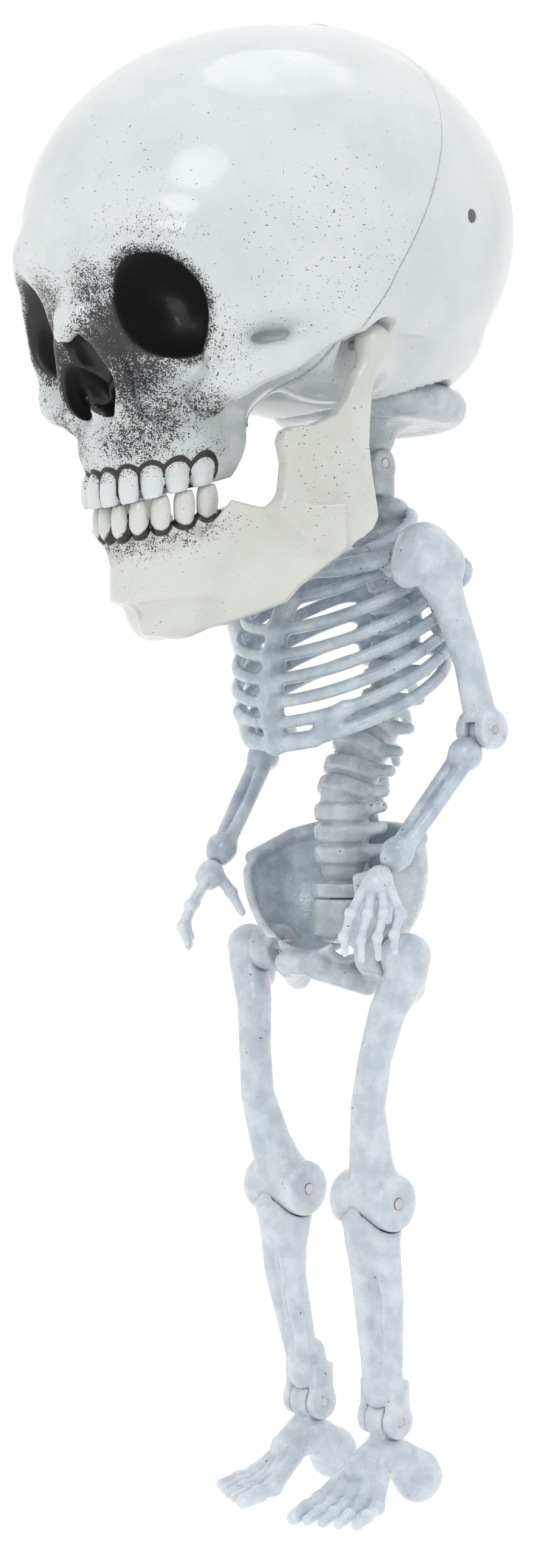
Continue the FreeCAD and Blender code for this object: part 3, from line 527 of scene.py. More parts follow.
def jaw_form():
    form = Form()
    form.join(arch_wall(-57.5, 18.6, 23.6, 4.0, lambda depth: -201 + 0.1 * (depth + 90),
                        lambda depth: bite(depth) - 9, -52, 2.4))
    for place, facing, halves in lower_crowns():
        form.join(crown(place, facing, halves), blend=0.7)
        form.join(root(place, facing, -10, 4.0, 2.3), blend=2.6)
    form.carve(behind((0, BITE_FRONT, BITE_HEIGHT - 0.15), (0, BITE_RISE, -1)))
    form.join(jaw_wall(3.7), blend=5)
    form.join(egg((7, -67.8, -202.5), (9, 6.8, 8.2), turn(x=14), paired=True), blend=5)
    form.join(egg((0, -71.5, -192), (13, 6.6, 9), turn(x=20)), blend=6)
    outline = [(-27.5, -127), (-29, -141), (-28.5, -158.5), (-25.5, -169.8), (-25, -176.4), (-28.5, -179.5),
               (-36, -182.5), (-46, -183), (-54, -178), (-60.5, -173),
               (-58.4, -165.6), (-57.6, -157.7), (-59.2, -151), (-58, -147.6), (-54.5, -146), (-47.4, -145),
               (-39, -141), (-34.5, -135), (-31.5, -127)]
    form.join(plate(outline, 50.3, 0.17, 2.6), blend=5)
    rear_edge = [(50.3, -27.4, -130), (50, -28, -150), (50.5, -25, -172)]
    form.join(limb(rear_edge, [2.7, 2.2, 2.6], paired=True), blend=4)
    form.join(limb([(51.5, -25.5, -120), (50.6, -28.5, -129)], [4.4, 3.2], paired=True), blend=3)
    form.join(egg((52, *JAW_AXIS), (5.9, 5.9, 6), paired=True), blend=2)
    form.carve(drum((47, *JAW_AXIS), ACROSS, 1.8, 6.6, 0.1, paired=True))
    return form


def jaw_paint(points):
    y, z = points[:, 1], points[:, 2]
    below = bite(y) - z
    near_teeth = smooth_step(16, 11, below) * smooth_step(-52, -60, y)
    soot = 0.45 * smooth_step(26, 14, below) * smooth_step(8, 13, below) * smooth_step(-60, -72, y)
    flecks = 0.12 + 0.5 * smooth_step(30, 8, np.linalg.norm(np.abs(points) - (46, 48, 155), axis=1))
    groove = tooth_gaps(points, lower_crowns(), near_teeth)
    return {"black": np.zeros(len(points)), "soot": soot, "groove": groove, "flecks": flecks}


# ---------------------------------------------------------------- body

SPINE = [(0, 27, -158), (0, 31, -172), (0, 36, -192), (0, 37, -214), (0, 30, -234), (0, 19, -250),
         (0, 13, -264), (0, 13, -286)]
RIB_SCALES = [0.62, 0.74, 0.92, 0.98, 1.0, 1.0, 0.97, 0.93]
CHEST_DEPTH, CHEST_RADIUS, RIB_LEAN, RIB_PITCH, TOP_RIB = 14.0, 39.5, 28.0, 7.6, -174.0
SHOULDER, ELBOW, WRIST = (50.0, 4.0, -184.0), (51.0, 28.0, -240.0), (42.0, -8.7, -286.0)
HIP, KNEE, ANKLE = (39.0, 5.0, -315.0), (21.5, 6.0, -398.0), (18.5, 15.0, -473.5)
WAIST_DEPTH, SOLE_HEIGHT = 13.0, -504.0


def neck_form():
    form, disc = Form(), (0, NECK_DEPTH, -127.7)
    form.join(ring(disc, 27.6, 6.3), drum(disc, UP, 28, 5.6, 1), blend=2)
    form.join(limb([(0, NECK_DEPTH, -130), (0, NECK_DEPTH, -137)], [15, 9]), blend=7)
    form.join(drum((0, NECK_DEPTH, -120), UP, 8, 9, 0.5))
    hinge = (0, NECK_DEPTH, NOD_HEIGHT)
    form.join(slab((0, NECK_DEPTH, -141), (2.9, 4.9, 6)), drum(hinge, ACROSS, 4.9, 2.9), blend=0.5)
    form.carve(drum(hinge, ACROSS, 1.6, 5, 0.1))
    return form


def bead_places(index):
    """The middles of the vertebrae on one stretch of the spine, and the way it runs."""
    start, end = np.array(SPINE[index], float), np.array(SPINE[index + 1], float)
    length = np.linalg.norm(end - start)
    count = max(1, round(float(length) / 8.5))
    return [start + (end - start) * (step + 0.5) / count for step in range(count)], (end - start) / length


def spine_form():
    form = Form()
    for index in range(len(SPINE) - 1):
        radius = 7.2 if index < 4 else 9.9
        form.join(limb(SPINE[index:index + 2], [radius - 2.4, radius - 2.4]), blend=1.5)
        places, along = bead_places(index)
        for place in places:
            form.join(drum(place, along, radius, 2.9, 1.6), blend=1.6)
            back = np.array((0, -along[2], along[1]))
            if index > 2:
                thorn = [place, place + back * 13, place + back * 15 - (0, 0, 4)]
                form.join(limb(thorn, [3, 2, 1.5]), blend=2)
                for sign in (LEFT, RIGHT):
                    tip = place + back * 5 + (sign * 14, 0, 2)
                    form.join(limb([place, tip], [3.4, 2]), blend=2)
    for sign in (LEFT, RIGHT):
        form.join(drum((sign * 5.7, NECK_DEPTH, NOD_HEIGHT), ACROSS, 5, 2.3, 0.6), blend=1)
        form.join(slab((sign * 5.7, NECK_DEPTH, -152.5), (2.3, 5, 5.5), soft=1), blend=1.5)
        form.join(egg((sign * 8, 29, -163), (6, 6, 4.5)), egg((sign * 9, 30, -171), (7, 6.5, 4)), blend=2)
    form.join(drum((0, WAIST_DEPTH, -294.5), UP, 10.9, 2.4, 0.8), blend=1.5)
    form.carve(drum((0, NECK_DEPTH, NOD_HEIGHT), ACROSS, 5.4, 3.35, 0.1),
               slab((0, NECK_DEPTH, -142.5), (3.35, 16, 2.5), soft=0.1))
    form.carve(drum((0, NECK_DEPTH, NOD_HEIGHT), ACROSS, 1.6, 12, 0.1))
    form.carve(drum((0, WAIST_DEPTH, -299), UP, 4.15, 11, 0.1))
    return form


def rib_place(level, angle):
    reach = RIB_SCALES[level] * CHEST_RADIUS
    lean = turn(x=RIB_LEAN)
    flat = np.array((reach * math.cos(math.radians(angle)), reach * math.sin(math.radians(angle)), 0))
    return np.array((0, CHEST_DEPTH, TOP_RIB - level * RIB_PITCH)) + lean @ flat


def rib_hoops(form):
    for level in range(8):
        centre = (0, CHEST_DEPTH, TOP_RIB - level * RIB_PITCH)
        form.join(ring(centre, RIB_SCALES[level] * CHEST_RADIUS, 2.1, turn(x=RIB_LEAN)), blend=0.8)
    return form


def chest_plane(side):
    """Parts the hoops at their widest place, into a front and a back half."""
    lean = turn(x=RIB_LEAN)
    return behind((0, CHEST_DEPTH, TOP_RIB - 3.5 * RIB_PITCH), (lean @ np.array((0, side, 0))))


def rib_front_form():
    form = rib_hoops(Form())
    breast = [rib_place(level, -90) for level in (0, 2, 5, 7)]
    form.join(limb(breast, [5.6, 4.6, 5, 4], flat=(0, 1, -0.5), squash=0.6), blend=2)
    for sign in (LEFT, RIGHT):
        low_edge = [rib_place(7, -90), rib_place(7, -90 + sign * 24), rib_place(6, -90 + sign * 42)]
        form.join(limb(low_edge, [3, 2.8, 2.4]), blend=2)
    form.keep(chest_plane(1))
    for sign in (LEFT, RIGHT):
        collar_bone = [rib_place(0, -90), (sign * 20, -8, -186), (sign * 35, 0, -183)]
        form.join(limb(collar_bone, [3, 3, 3.2]), blend=2)
        form.carve(drum((sign * 41, *SHOULDER[1:]), ACROSS, 5.9, 9, 0.2))
    return form


def rib_back_form():
    form = rib_hoops(Form())
    form.join(limb([rib_place(level, 90) for level in (0, 3, 7)], [4, 4.4, 3.6]), blend=2)
    form.keep(chest_plane(-1))
    for sign in (LEFT, RIGHT):
        form.join(drum((sign * 35.6, *SHOULDER[1:]), ACROSS, 5.6, 3.5, 0.8))
        form.join(limb([(sign * 35.5, 5, -184), (sign * 29, 42, -184)], [3.4, 2.4]), blend=2)
        form.join(limb([(sign * 28, 42, -185), (sign * 17, 44, -188), (sign * 20, 45, -212)], [5, 6, 3.5],
                       flat=(0, 1, 0.1), squash=0.45), blend=4)
        form.join(limb([(sign * 29, 42, -184), (sign * 4, 45, -178)], [2.6, 2]), blend=2)
        form.carve(drum((sign * 40, *SHOULDER[1:]), ACROSS, 3.1, 14, 0.1))
    form.carve(*[part for _, part, _ in spine_form().steps[:3]])
    return form


def pelvis_form():
    form = Form()
    centre = (0, WAIST_DEPTH - 4, -287)
    form.join(egg(centre, (37, 26, 36)))
    form.carve(egg(centre, (34, 23, 33)))
    crest = turn(x=24)
    form.keep(behind((0, WAIST_DEPTH, -279), crest @ np.array((0, 0, 1.0))), blend=1.2)
    form.carve(egg((0, -18, -294), (29, 24, 24)), drum((0, 14, -326), UP, 13, 14), blend=1.5)
    form.carve(egg((26, 36, -309), (12, 12, 11), paired=True), blend=1.5)
    rim = [(34.5, 2, -283.5), (31.5, 19, -276), (22.5, 27, -272.5)]
    form.join(limb(rim, [2.1, 2.3, 2.1], paired=True), blend=2)
    form.join(limb([(0, 24, -300), (0, 29, -316)], [9, 5], flat=(0, 1, 0), squash=0.7), blend=3)
    form.join(drum((0, WAIST_DEPTH, -303.7), UP, 10.9, 6.3, 1), blend=2)
    form.join(slab((0, 21, -306), (11, 11, 7), soft=3), blend=2)
    form.join(drum((26, *HIP[1:]), ACROSS, 8.2, 5, 1.2, paired=True), blend=2)
    form.join(limb([(24, 8, -317), (17, 8, -325), (7, -5, -321)], [5, 4.6, 3.6], paired=True), blend=2)
    form.join(limb([(-7, -7, -319), (7, -7, -319)], [4, 4]), blend=2)
    form.carve(limb([(16, -24, -318), (16, -2, -315)], [4.4, 4.4], paired=True), blend=1)
    form.carve(drum((0, WAIST_DEPTH, -300), UP, 4.1, 10, 0.1))
    form.carve(drum((30, *HIP[1:]), ACROSS, 3.1, 10, 0.1, paired=True),
               drum((44, *HIP[1:]), ACROSS, 9, 12.6, 0.1, paired=True))
    form.carve(slab((0, WAIST_DEPTH, -287), (12.5, 12.5, 9.6), soft=0.5))
    return form


def along_x(out, depth, height, start, end, radius, soft=0.4):
    """A pin, knuckle or bore on a joint's axis, from start to end past the joint."""
    return drum((out + (start + end) / 2, depth, height), ACROSS, radius, (end - start) / 2, soft)


def upper_arm_form():
    form = Form()
    shaft = [SHOULDER, (51, 12, -199), (52.5, 20, -218), (51.3, 26, -233)]
    form.join(limb(shaft, [8.6, 5.6, 4.9, 5.4]))
    form.join(egg((49, 1.5, -182), (9.6, 9.6, 9.8)), egg((53, 8, -186), (6, 7, 8)),
              egg((45.5, -2, -187), (5.5, 6, 7)), blend=2)
    form.join(along_x(*ELBOW, -6.4, 6.4, 6.5, 1), blend=2.5)
    form.carve(along_x(*ELBOW, -2.4, 2.4, 5.1, 0.2))
    form.carve(slab((ELBOW[0], ELBOW[1] - 8.5, ELBOW[2] - 4.75), (2.4, 13.5, 7.25), soft=0.2))
    form.carve(along_x(*SHOULDER, -20, 2.6, 3.1, 0.1), slab((29.6, 5, -183), (10, 25, 20), soft=0.1))
    form.carve(along_x(*ELBOW, -10, 10, 1.4, 0.1))
    return form


def arm_line():
    elbow, wrist = np.array(ELBOW), np.array(WRIST)
    along = (wrist - elbow) / np.linalg.norm(wrist - elbow)
    return elbow, wrist, along


def forearm_form():
    elbow, wrist, along = arm_line()
    neck, flare = elbow + along * 10.5, wrist - along * 7
    form = Form()
    form.join(along_x(*ELBOW, -2, 2, 4.4, 0.5), limb([elbow, neck], [2, 2]))
    form.join(egg(neck, (5.6, 6, 5.8)), blend=2)
    form.join(egg(flare, (5, 5, 5)), limb([flare, wrist - along * 4.6], [5, 4.4]), blend=2)
    for offset in (-2.9, 2.9):
        shift = np.array((offset, 0, 0))
        rod = [neck + shift * 0.8, (neck + flare) / 2 + shift * 1.15, flare + shift * 0.7]
        form.join(limb(rod, [2.9, 2.1, 2.6]), blend=1.5)
    form.carve(along_x(*ELBOW, -9, -2.2, 6.9, 0.2), along_x(*ELBOW, 2.2, 9, 6.9, 0.2))
    form.carve(drum(wrist + along * 4.8, along, 12, 5, 0.1), drum(wrist - along * 3, along, 1.6, 5, 0.1))
    form.carve(along_x(*ELBOW, -10, 10, 1.35, 0.1))
    return form


def hand_form():
    _, wrist, along = arm_line()
    palm = wrist + along * 5
    form = Form()
    form.join(limb([wrist + along * 3.6, palm + along], [4.4, 4.6]))
    spread, knuckles = np.array((0.68, 0.73, 0)), np.array((45, -16.5, -300))
    for finger in (-1.5, -0.5, 0.5, 1.5):
        knuckle = knuckles + spread * (5.4 * finger)
        bend = knuckle + (0.4, -3.5, -8.5 + abs(finger + 0.3))
        tip = bend + (-1, 1.5, -7 + abs(finger))
        start = palm + spread * (2.2 * finger)
        form.join(limb([start, knuckle], [1.7, 1.5]), limb([knuckle, bend], [1.5, 1.35]),
                  limb([bend, tip], [1.4, 1.1]), blend=0.8)
        form.join(egg(knuckle, (2.1, 2.1, 2.1)), egg(bend, (1.8, 1.8, 1.8)), blend=0.8)
    thumb = [palm + (-1, 2, 1), (38.5, -4, -296), (35.8, -1.5, -303)]
    form.join(limb(thumb, [2.4, 1.8, 1.4]), egg(thumb[1], (2.2, 2.2, 2.2)), blend=1)
    form.carve(drum(wrist - along * 4.8, along, 12, 5, 0.1), drum(wrist + along, along, 1.55, 4, 0.1))
    return form


def thigh_form():
    form = Form()
    shaft = [(38.5, 4.5, -321), (32.5, 1.5, -334), (29.5, -1, -349), (27, -2, -366), (24.5, 2, -383),
             (22.5, 5, -392)]
    form.join(limb(shaft, [7, 6.1, 5.6, 5.8, 7.2, 8.4]))
    form.join(egg(HIP, (7.6, 7.6, 7.6)), along_x(*HIP, -7.5, 0, 6.4, 1), blend=2)
    form.join(egg((36.5, 9, -325), (4.5, 5, 6)), blend=2)
    form.join(along_x(*KNEE, -12.1, 12.1, 9.5, 1.8), blend=3)
    form.carve(along_x(*KNEE, -2.9, 2.9, 7.1, 0.2))
    form.carve(slab((KNEE[0], KNEE[1] + 5.5, KNEE[2] - 5.75), (2.9, 10.4, 8.2), soft=0.2),
               slab((KNEE[0], KNEE[1] - 8, KNEE[2] - 8.7), (2.9, 8, 5.3), soft=0.2),
               slab((KNEE[0], KNEE[1] + 9.5, KNEE[2] + 4.7), (2.9, 6.5, 4.8), soft=0.2))
    form.carve(drum((23.2, *HIP[1:]), ACROSS, 8.8, 8.2, 0.2))
    form.carve(along_x(*KNEE, -15, 15, 1.9, 0.1), along_x(30, *HIP[1:], -10, 10.6, 3.1, 0.1))
    return form


def shin_form():
    form = Form()
    out, depth, height = KNEE
    form.join(limb([(out, depth, height - 7), (out, depth, height - 14)], [10.8, 8.4]))
    form.join(along_x(*KNEE, -2.5, 2.5, 7, 0.4), slab((out, depth, height - 6), (2.5, 4.5, 6)), blend=0.5)
    form.join(limb([(18, 5, -411), (17.6, 6.5, -429), (15.8, 12, -460)], [6, 4.4, 3.5]), blend=3)
    form.join(limb([(26.6, 6, -411), (28.6, 8, -429), (23.4, 13.5, -460)], [5.4, 3.9, 3.5]), blend=3)
    form.join(limb([(22, 6, -413), (23, 7.5, -429), (19.4, 13, -460)], [5, 2.4, 3.3]), blend=2)
    form.join(limb([(ANKLE[0], ANKLE[1] - 0.5, -464), (ANKLE[0], ANKLE[1] - 0.5, -457.5)], [7.2, 6]), blend=3)
    for inner, outer in ((-7.8, -4.2), (4.2, 7.8)):
        form.join(along_x(*ANKLE, inner, outer, 6.1, 1), blend=1)
        form.join(slab((ANKLE[0] + (inner + outer) / 2, ANKLE[1], -467), (1.8, 4.6, 7), soft=1), blend=1)
    form.carve(along_x(*KNEE, 2.6, 16, 10, 0.2), along_x(*KNEE, -16, -2.6, 10, 0.2))
    form.carve(slab((out, depth + 12.6, height - 6), (16, 4, 6), soft=0.5), blend=0.5)
    form.carve(along_x(*ANKLE, -4.2, 4.2, 6.9, 0.2), along_x(*ANKLE, -12, 12, 1.55, 0.1))
    form.carve(along_x(*KNEE, -15, 15, 1.85, 0.1))
    return form


def foot_form():
    form = Form()
    form.join(along_x(*ANKLE, -3.8, 3.8, 6.5, 1))
    form.join(limb([(18.5, 15, -480), (18.8, 12, -486), (18, 3, -489)], [4, 7, 5.6]), blend=2)
    form.join(limb([(19, 16, -485), (20.5, 28, -494)], [6.5, 7.6]),
              egg((20.5, 29, -495.8), (8, 8.4, 8.5)), blend=3)
    for toe, reach in enumerate((-22, -21, -19, -16.5, -13.5)):
        base = np.array((13.5 + 2.6 * toe, 3 + 1.2 * toe, -490.5))
        knuckle = np.array((11.5 + 4.6 * toe, reach + 13, SOLE_HEIGHT + 5.6))
        tip = np.array((12.5 + 5.2 * toe, reach, SOLE_HEIGHT + 2.8))
        size = 3.0 if toe == 0 else 2.3
        middle = (knuckle + tip) / 2
        form.join(limb([base, knuckle], [3.0, size - 0.1]), blend=1.2)
        form.join(limb([knuckle, middle], [size - 0.2, size - 0.4]),
                  limb([middle, tip], [size - 0.3, size - 0.5]), blend=0.6)
        form.join(egg(knuckle, (size + 0.4,) * 3), egg(middle, (size + 0.1,) * 3), blend=0.8)
    form.carve(behind((0, 0, SOLE_HEIGHT), (0, 0, 1)))
    form.carve(along_x(*ANKLE, -12, 12, 1.6, 0.1))
    form.carve(along_x(*ANKLE, -12, -3.8, 6.9, 0.2), along_x(*ANKLE, 3.8, 12, 6.9, 0.2))
    return form


# ---------------------------------------------------------------- materials


class Paint:
    """A node material under construction."""

    def __init__(self, name):
        self.material = bpy.data.materials.new(name)
        self.material.use_nodes = True
        self.nodes, self.links = self.material.node_tree.nodes, self.material.node_tree.links
        self.shader = self.nodes["Principled BSDF"]
        self.place = self.nodes.new("ShaderNodeTexCoord").outputs["Object"]

    def feed(self, socket, value):
        if isinstance(value, bpy.types.NodeSocket):
            self.links.new(value, socket)
        else:
            socket.default_value = value

    def noise(self, scale, detail=3.0, rough=0.55, stretch=(1, 1, 1)):
        """Noise whose scale is in features per metre."""
        mapping = self.nodes.new("ShaderNodeMapping")
        self.links.new(self.place, mapping.inputs["Vector"])
        mapping.inputs["Scale"].default_value = stretch
        node = self.nodes.new("ShaderNodeTexNoise")
        self.links.new(mapping.outputs["Vector"], node.inputs["Vector"])
        node.inputs["Scale"].default_value = scale
        node.inputs["Detail"].default_value = detail
        node.inputs["Roughness"].default_value = rough
        return node.outputs["Fac"]

    def attribute(self, name):
        node = self.nodes.new("ShaderNodeAttribute")
        node.attribute_name = name
        return node.outputs["Fac"]

    def math(self, kind, first, second=0.0, third=0.0):
        node = self.nodes.new("ShaderNodeMath")
        node.operation = kind
        for socket, value in zip(node.inputs, (first, second, third)):
            self.feed(socket, value)
        return node.outputs[0]

    def span(self, value, low, high, out_low=0.0, out_high=1.0):
        """The value rescaled smoothly from one span to another."""
        node = self.nodes.new("ShaderNodeMapRange")
        node.interpolation_type = "SMOOTHSTEP"
        keys = ("Value", "From Min", "From Max", "To Min", "To Max")
        for key, amount in zip(keys, (value, low, high, out_low, out_high)):
            self.feed(node.inputs[key], amount)
        return node.outputs[0]

    def mix(self, amount, first, second):
        node = self.nodes.new("ShaderNodeMix")
        node.data_type = "RGBA"
        self.feed(node.inputs[0], amount)
        self.feed(node.inputs[6], (*first, 1) if isinstance(first, tuple) else first)
        self.feed(node.inputs[7], (*second, 1) if isinstance(second, tuple) else second)
        return node.outputs[2]

    def bump(self, height, strength, distance, under=None):
        node = self.nodes.new("ShaderNodeBump")
        node.inputs["Strength"].default_value = strength
        node.inputs["Distance"].default_value = distance
        self.feed(node.inputs["Height"], height)
        if under is not None:
            self.links.new(under, node.inputs["Normal"])
        return node.outputs["Normal"]

    def set(self, **sockets):
        for name, value in sockets.items():
            self.feed(self.shader.inputs[name.replace("_", " ")], value)
        return self.material


def painted_bone(name, pale, deep):
    """Glossy moulded plastic: black sockets, airbrush spatter round them, dark gaps between the teeth."""
    paint = Paint(name)
    base = paint.mix(paint.span(paint.noise(35), 0.35, 0.68), pale, deep)
    black, soot, groove, flecks = (paint.attribute(key) for key in ("black", "soot", "groove", "flecks"))
    fine = paint.math("MULTIPLY", paint.noise(1900, 2, 0.6), 2.3)
    spray = paint.math("ADD", fine, paint.math("MULTIPLY", paint.noise(500, 2), 0.9))
    spatter = paint.span(paint.math("SUBTRACT", soot, paint.math("SUBTRACT", spray, 1.0)), -0.08, 0.08)
    haze = paint.span(soot, 0.15, 0.9, 0.0, 0.42)
    dashes = paint.noise(900, 0, 0.5, (1.0, 1.0, 2.2))
    fleck = paint.span(paint.math("ADD", dashes, paint.math("MULTIPLY", flecks, 0.15)), 0.86, 0.88)
    ragged = paint.math("MULTIPLY", paint.noise(1100, 3, 0.6), 0.5)
    crease = paint.span(paint.math("ADD", groove, ragged), 0.62, 0.92)
    shade = paint.mix(haze, base, (0.16, 0.15, 0.145))
    ink = paint.math("MAXIMUM", spatter, paint.math("MULTIPLY", fleck, 0.8))
    inked = paint.mix(ink, shade, (0.02, 0.02, 0.022))
    waver = paint.math("MULTIPLY", paint.math("SUBTRACT", paint.noise(1500, 2), 0.5), 0.5)
    filled = paint.mix(paint.span(paint.math("ADD", black, waver), 0.28, 0.5), inked, (0.010, 0.010, 0.011))
    colour = paint.mix(crease, filled, (0.018, 0.014, 0.010))
    dull = paint.math("MAXIMUM", paint.math("MAXIMUM", spatter, crease), paint.span(black, 0.2, 0.6))
    sheen = paint.span(paint.noise(60), 0.3, 0.7, 0.12, 0.22)
    rough = paint.math("ADD", sheen, paint.math("MULTIPLY", dull, 0.30))
    normal = paint.bump(paint.noise(140, 4), 0.10, 0.0008)
    normal = paint.bump(paint.noise(38, 2), 0.18, 0.003, normal)
    return paint.set(Base_Color=colour, Roughness=rough, Normal=normal, IOR=1.49, Coat_Weight=0.25,
                     Coat_Roughness=0.06, Subsurface_Weight=0.12, Subsurface_Scale=0.002,
                     Specular_IOR_Level=0.5)


def milky(name, stretch, pale=(0.62, 0.68, 0.74), deep=(0.42, 0.48, 0.55), veil=0.20):
    """Milky translucent moulding with fine ridges, cloudy depth and sparse dark specks."""
    paint = Paint(name)
    cloud = paint.span(paint.noise(120, 4, 0.6), 0.32, 0.68)
    base = paint.mix(cloud, deep, pale)
    speck = paint.span(paint.noise(420, 1, 0.5), 0.765, 0.79)
    base = paint.mix(paint.math("MULTIPLY", speck, 0.7), base, (0.05, 0.05, 0.055))
    ridges = paint.noise(620, 2, 0.5, stretch)
    lumps = paint.noise(160, 3, 0.6)
    normal = paint.bump(ridges, 0.35, 0.0011)
    normal = paint.bump(lumps, 0.30, 0.0022, normal)
    rough = paint.span(paint.noise(200, 3), 0.3, 0.7, 0.10, 0.30)
    return paint.set(Base_Color=base, Roughness=rough, Normal=normal, IOR=1.49, Transmission_Weight=veil,
                     Subsurface_Weight=0.75, Subsurface_Scale=0.006, Subsurface_Radius=(0.9, 1.0, 1.1),
                     Coat_Weight=0.5, Coat_Roughness=0.08)


def steel(name, tint):
    paint = Paint(name)
    base = paint.mix(paint.noise(300, 3), tuple(0.75 * part for part in tint), tint)
    rough = paint.span(paint.noise(500, 2), 0.3, 0.7, 0.22, 0.38)
    return paint.set(Base_Color=base, Roughness=rough, Metallic=1.0,
                     Normal=paint.bump(paint.noise(900, 2), 0.1, 0.0002))


def plain(name, tint):
    paint = Paint(name)
    base = paint.mix(paint.noise(80, 3), tuple(0.93 * part for part in tint), tint)
    return paint.set(Base_Color=base, Roughness=paint.span(paint.noise(120), 0.3, 0.7, 0.25, 0.4),
                     Normal=paint.bump(paint.noise(300, 3), 0.08, 0.0004))


# ---------------------------------------------------------------- assembly


skull_look = painted_bone("skull_plastic", (0.63, 0.665, 0.67), (0.57, 0.61, 0.615))
jaw_look = painted_bone("jaw_plastic", (0.62, 0.635, 0.60), (0.55, 0.565, 0.525))
rib_look = milky("rib_plastic", (1, 1, 0.25))
limb_look = milky("limb_plastic", (1.5, 1.5, 0.22), (0.66, 0.70, 0.74), (0.50, 0.55, 0.61), 0.10)
spine_look = milky("spine_plastic", (0.5, 0.5, 1), (0.62, 0.66, 0.69), (0.44, 0.49, 0.52), 0.15)
leg_look = milky("leg_plastic", (1.5, 1.5, 0.22), (0.66, 0.70, 0.74), (0.50, 0.55, 0.61), 0.08)

skull = skull_form()
front = skull.copy().keep(behind(SEAM_POINT - SEAM_HALF_GAP * SEAM_NORMAL, SEAM_NORMAL), blend=0.5)
rear = skull.copy().keep(behind(SEAM_POINT + SEAM_HALF_GAP * SEAM_NORMAL, -SEAM_NORMAL), blend=0.5)
piece("look_skull_front", front, (-76, -128, -178), (76, 24, 4), 0.75, "skull", ["skull_front_shell"],
      skull_look, skull_paint)
piece("look_skull_rear", rear, (-76, -66, -142), (76, 72, 4), 1.1, "skull", ["skull_rear_shell"],
      skull_look, skull_paint)
piece("look_jaw", jaw_form(), (-62, -102, -216), (62, -14, -106), 0.65, "jaw", ["jaw"],
      jaw_look, jaw_paint)
piece("look_neck", neck_form(), (-36, -10, -155), (36, 62, -108), 0.8, "neck", ["neck_collar"],
      spine_look)
piece("look_spine", spine_form(), (-26, -4, -300), (26, 60, -138), 0.7, "torso", ["spine_column"],
      spine_look)
piece("look_ribs_front", rib_front_form(), (-46, -32, -262), (46, 40, -160), 0.6, "torso", ["ribcage_front"],
      rib_look)
piece("look_ribs_back", rib_back_form(), (-46, -14, -250), (46, 58, -148), 0.6, "torso", ["ribcage_back"],
      rib_look)
piece("look_pelvis", pelvis_form(), (-42, -22, -336), (42, 44, -246), 0.65, "pelvis", ["pelvis"],
      spine_look)
LIMBS = (("upper_arm", upper_arm_form, (36, -14, -252), (66, 40, -168), 0.55, limb_look),
         ("forearm", forearm_form, (32, -20, -292), (64, 40, -230), 0.5, rib_look),
         ("hand", hand_form, (30, -32, -322), (60, 6, -284), 0.42, limb_look),
         ("thigh", thigh_form, (6, -16, -412), (52, 24, -302), 0.6, leg_look),
         ("shin", shin_form, (6, -8, -486), (38, 24, -386), 0.55, leg_look),
         ("foot", foot_form, (6, -28, -508), (40, 42, -462), 0.5, leg_look))
for name, make, low, high, step, look in LIMBS:
    points, quads = skin(make(), low, high, step * COARSER)
    for side, word in ((LEFT, "left"), (RIGHT, "right")):
        node = name + "_" + word
        flipped = quads if side == LEFT else quads[:, ::-1]
        set_piece("look_" + node, points * (side, 1, 1), flipped, node, [node], look)

pin_look, screw_look = steel("pin_steel", (0.62, 0.62, 0.63)), steel("screw_steel", (0.20, 0.20, 0.21))
eyelet_look = plain("eyelet_plastic", (0.78, 0.80, 0.82))
for node, item in frame["nodes"].items():
    item.data.materials.clear()
    item.data.materials.append(eyelet_look if "eyelet" in node or "retainer" in node or "peg" in node
                               else screw_look if "screw" in node else pin_look)


# ---------------------------------------------------------------- stage, light and camera


def aim(item, target):
    item.rotation_euler = (target - item.location).to_track_quat("-Z", "Y").to_euler()


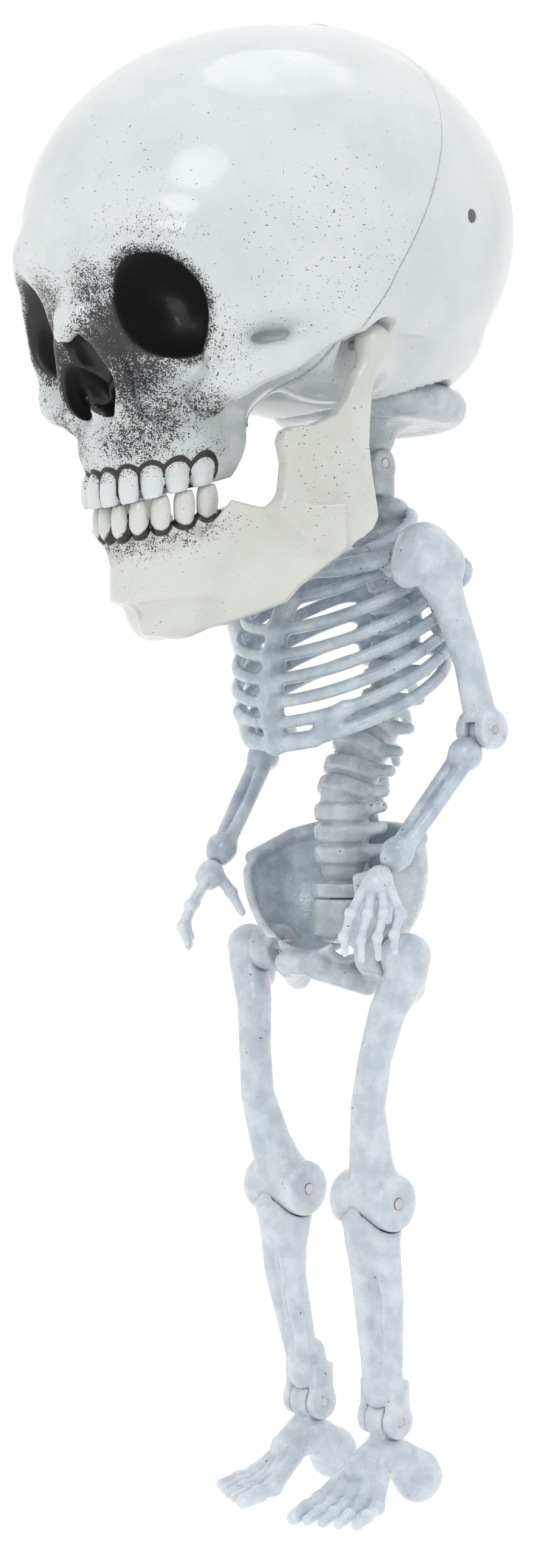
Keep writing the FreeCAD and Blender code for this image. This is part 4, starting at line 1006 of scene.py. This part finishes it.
def stage():
    mesh = bpy.data.meshes.new("floor")
    size, height = 6.0, -0.62
    corners = [(x * size, y * size, height) for x, y in ((-1, -1), (1, -1), (1, 1), (-1, 1))]
    mesh.from_pydata(corners, [], [(0, 1, 2, 3)])
    floor = bpy.data.objects.new("floor", mesh)
    bpy.context.scene.collection.objects.link(floor)
    paint = plain("floor_paint", (0.90, 0.90, 0.90))
    glow = paint.node_tree.nodes["Principled BSDF"].inputs
    glow["Emission Color"].default_value, glow["Emission Strength"].default_value = (1, 1, 1, 1), 0.2
    mesh.materials.append(paint)


def soft_light(name, place, target, size, power, tint=(1, 1, 1)):
    data = bpy.data.lights.new(name, "AREA")
    data.shape, data.size, data.energy, data.color = "DISK", size, power, tint
    light = bpy.data.objects.new(name, data)
    bpy.context.scene.collection.objects.link(light)
    light.location = place
    aim(light, Vector(target))


AZIMUTH, DISTANCE, OFFSET, EYE_DEPTH, EYE_HEIGHT = math.radians(47), 0.860, 0.02486, 0.012, -0.258
LENS, SENSOR = 57.3, 36.0


def camera():
    data = bpy.data.cameras.new("camera")
    data.lens, data.sensor_width, data.clip_start = LENS, SENSOR, 0.01
    eye = bpy.data.objects.new("camera", data)
    bpy.context.scene.collection.objects.link(eye)
    c, s = math.cos(AZIMUTH), math.sin(AZIMUTH)
    place = (DISTANCE * s - OFFSET * c, -DISTANCE * c - OFFSET * s + EYE_DEPTH, EYE_HEIGHT)
    eye.location = place
    eye.rotation_euler = (math.radians(90), 0, AZIMUTH)
    bpy.context.scene.camera = eye


def world():
    sky = bpy.data.worlds.new("studio")
    bpy.context.scene.world = sky
    sky.use_nodes = True
    sky.node_tree.nodes["Background"].inputs["Color"].default_value = (1, 1, 1, 1)
    sky.node_tree.nodes["Background"].inputs["Strength"].default_value = 1.0


stage()
world()
camera()
soft_light("key", (0.9, -1.0, 0.7), (0, 0, -0.15), 0.7, 3.6)
soft_light("fill", (-1.2, -0.9, 0.0), (0, 0, -0.2), 0.9, 0.8)
soft_light("top", (0.1, 0.2, 1.1), (0, 0, -0.2), 0.8, 1.8)
bpy.context.scene.view_settings.view_transform = "Standard"
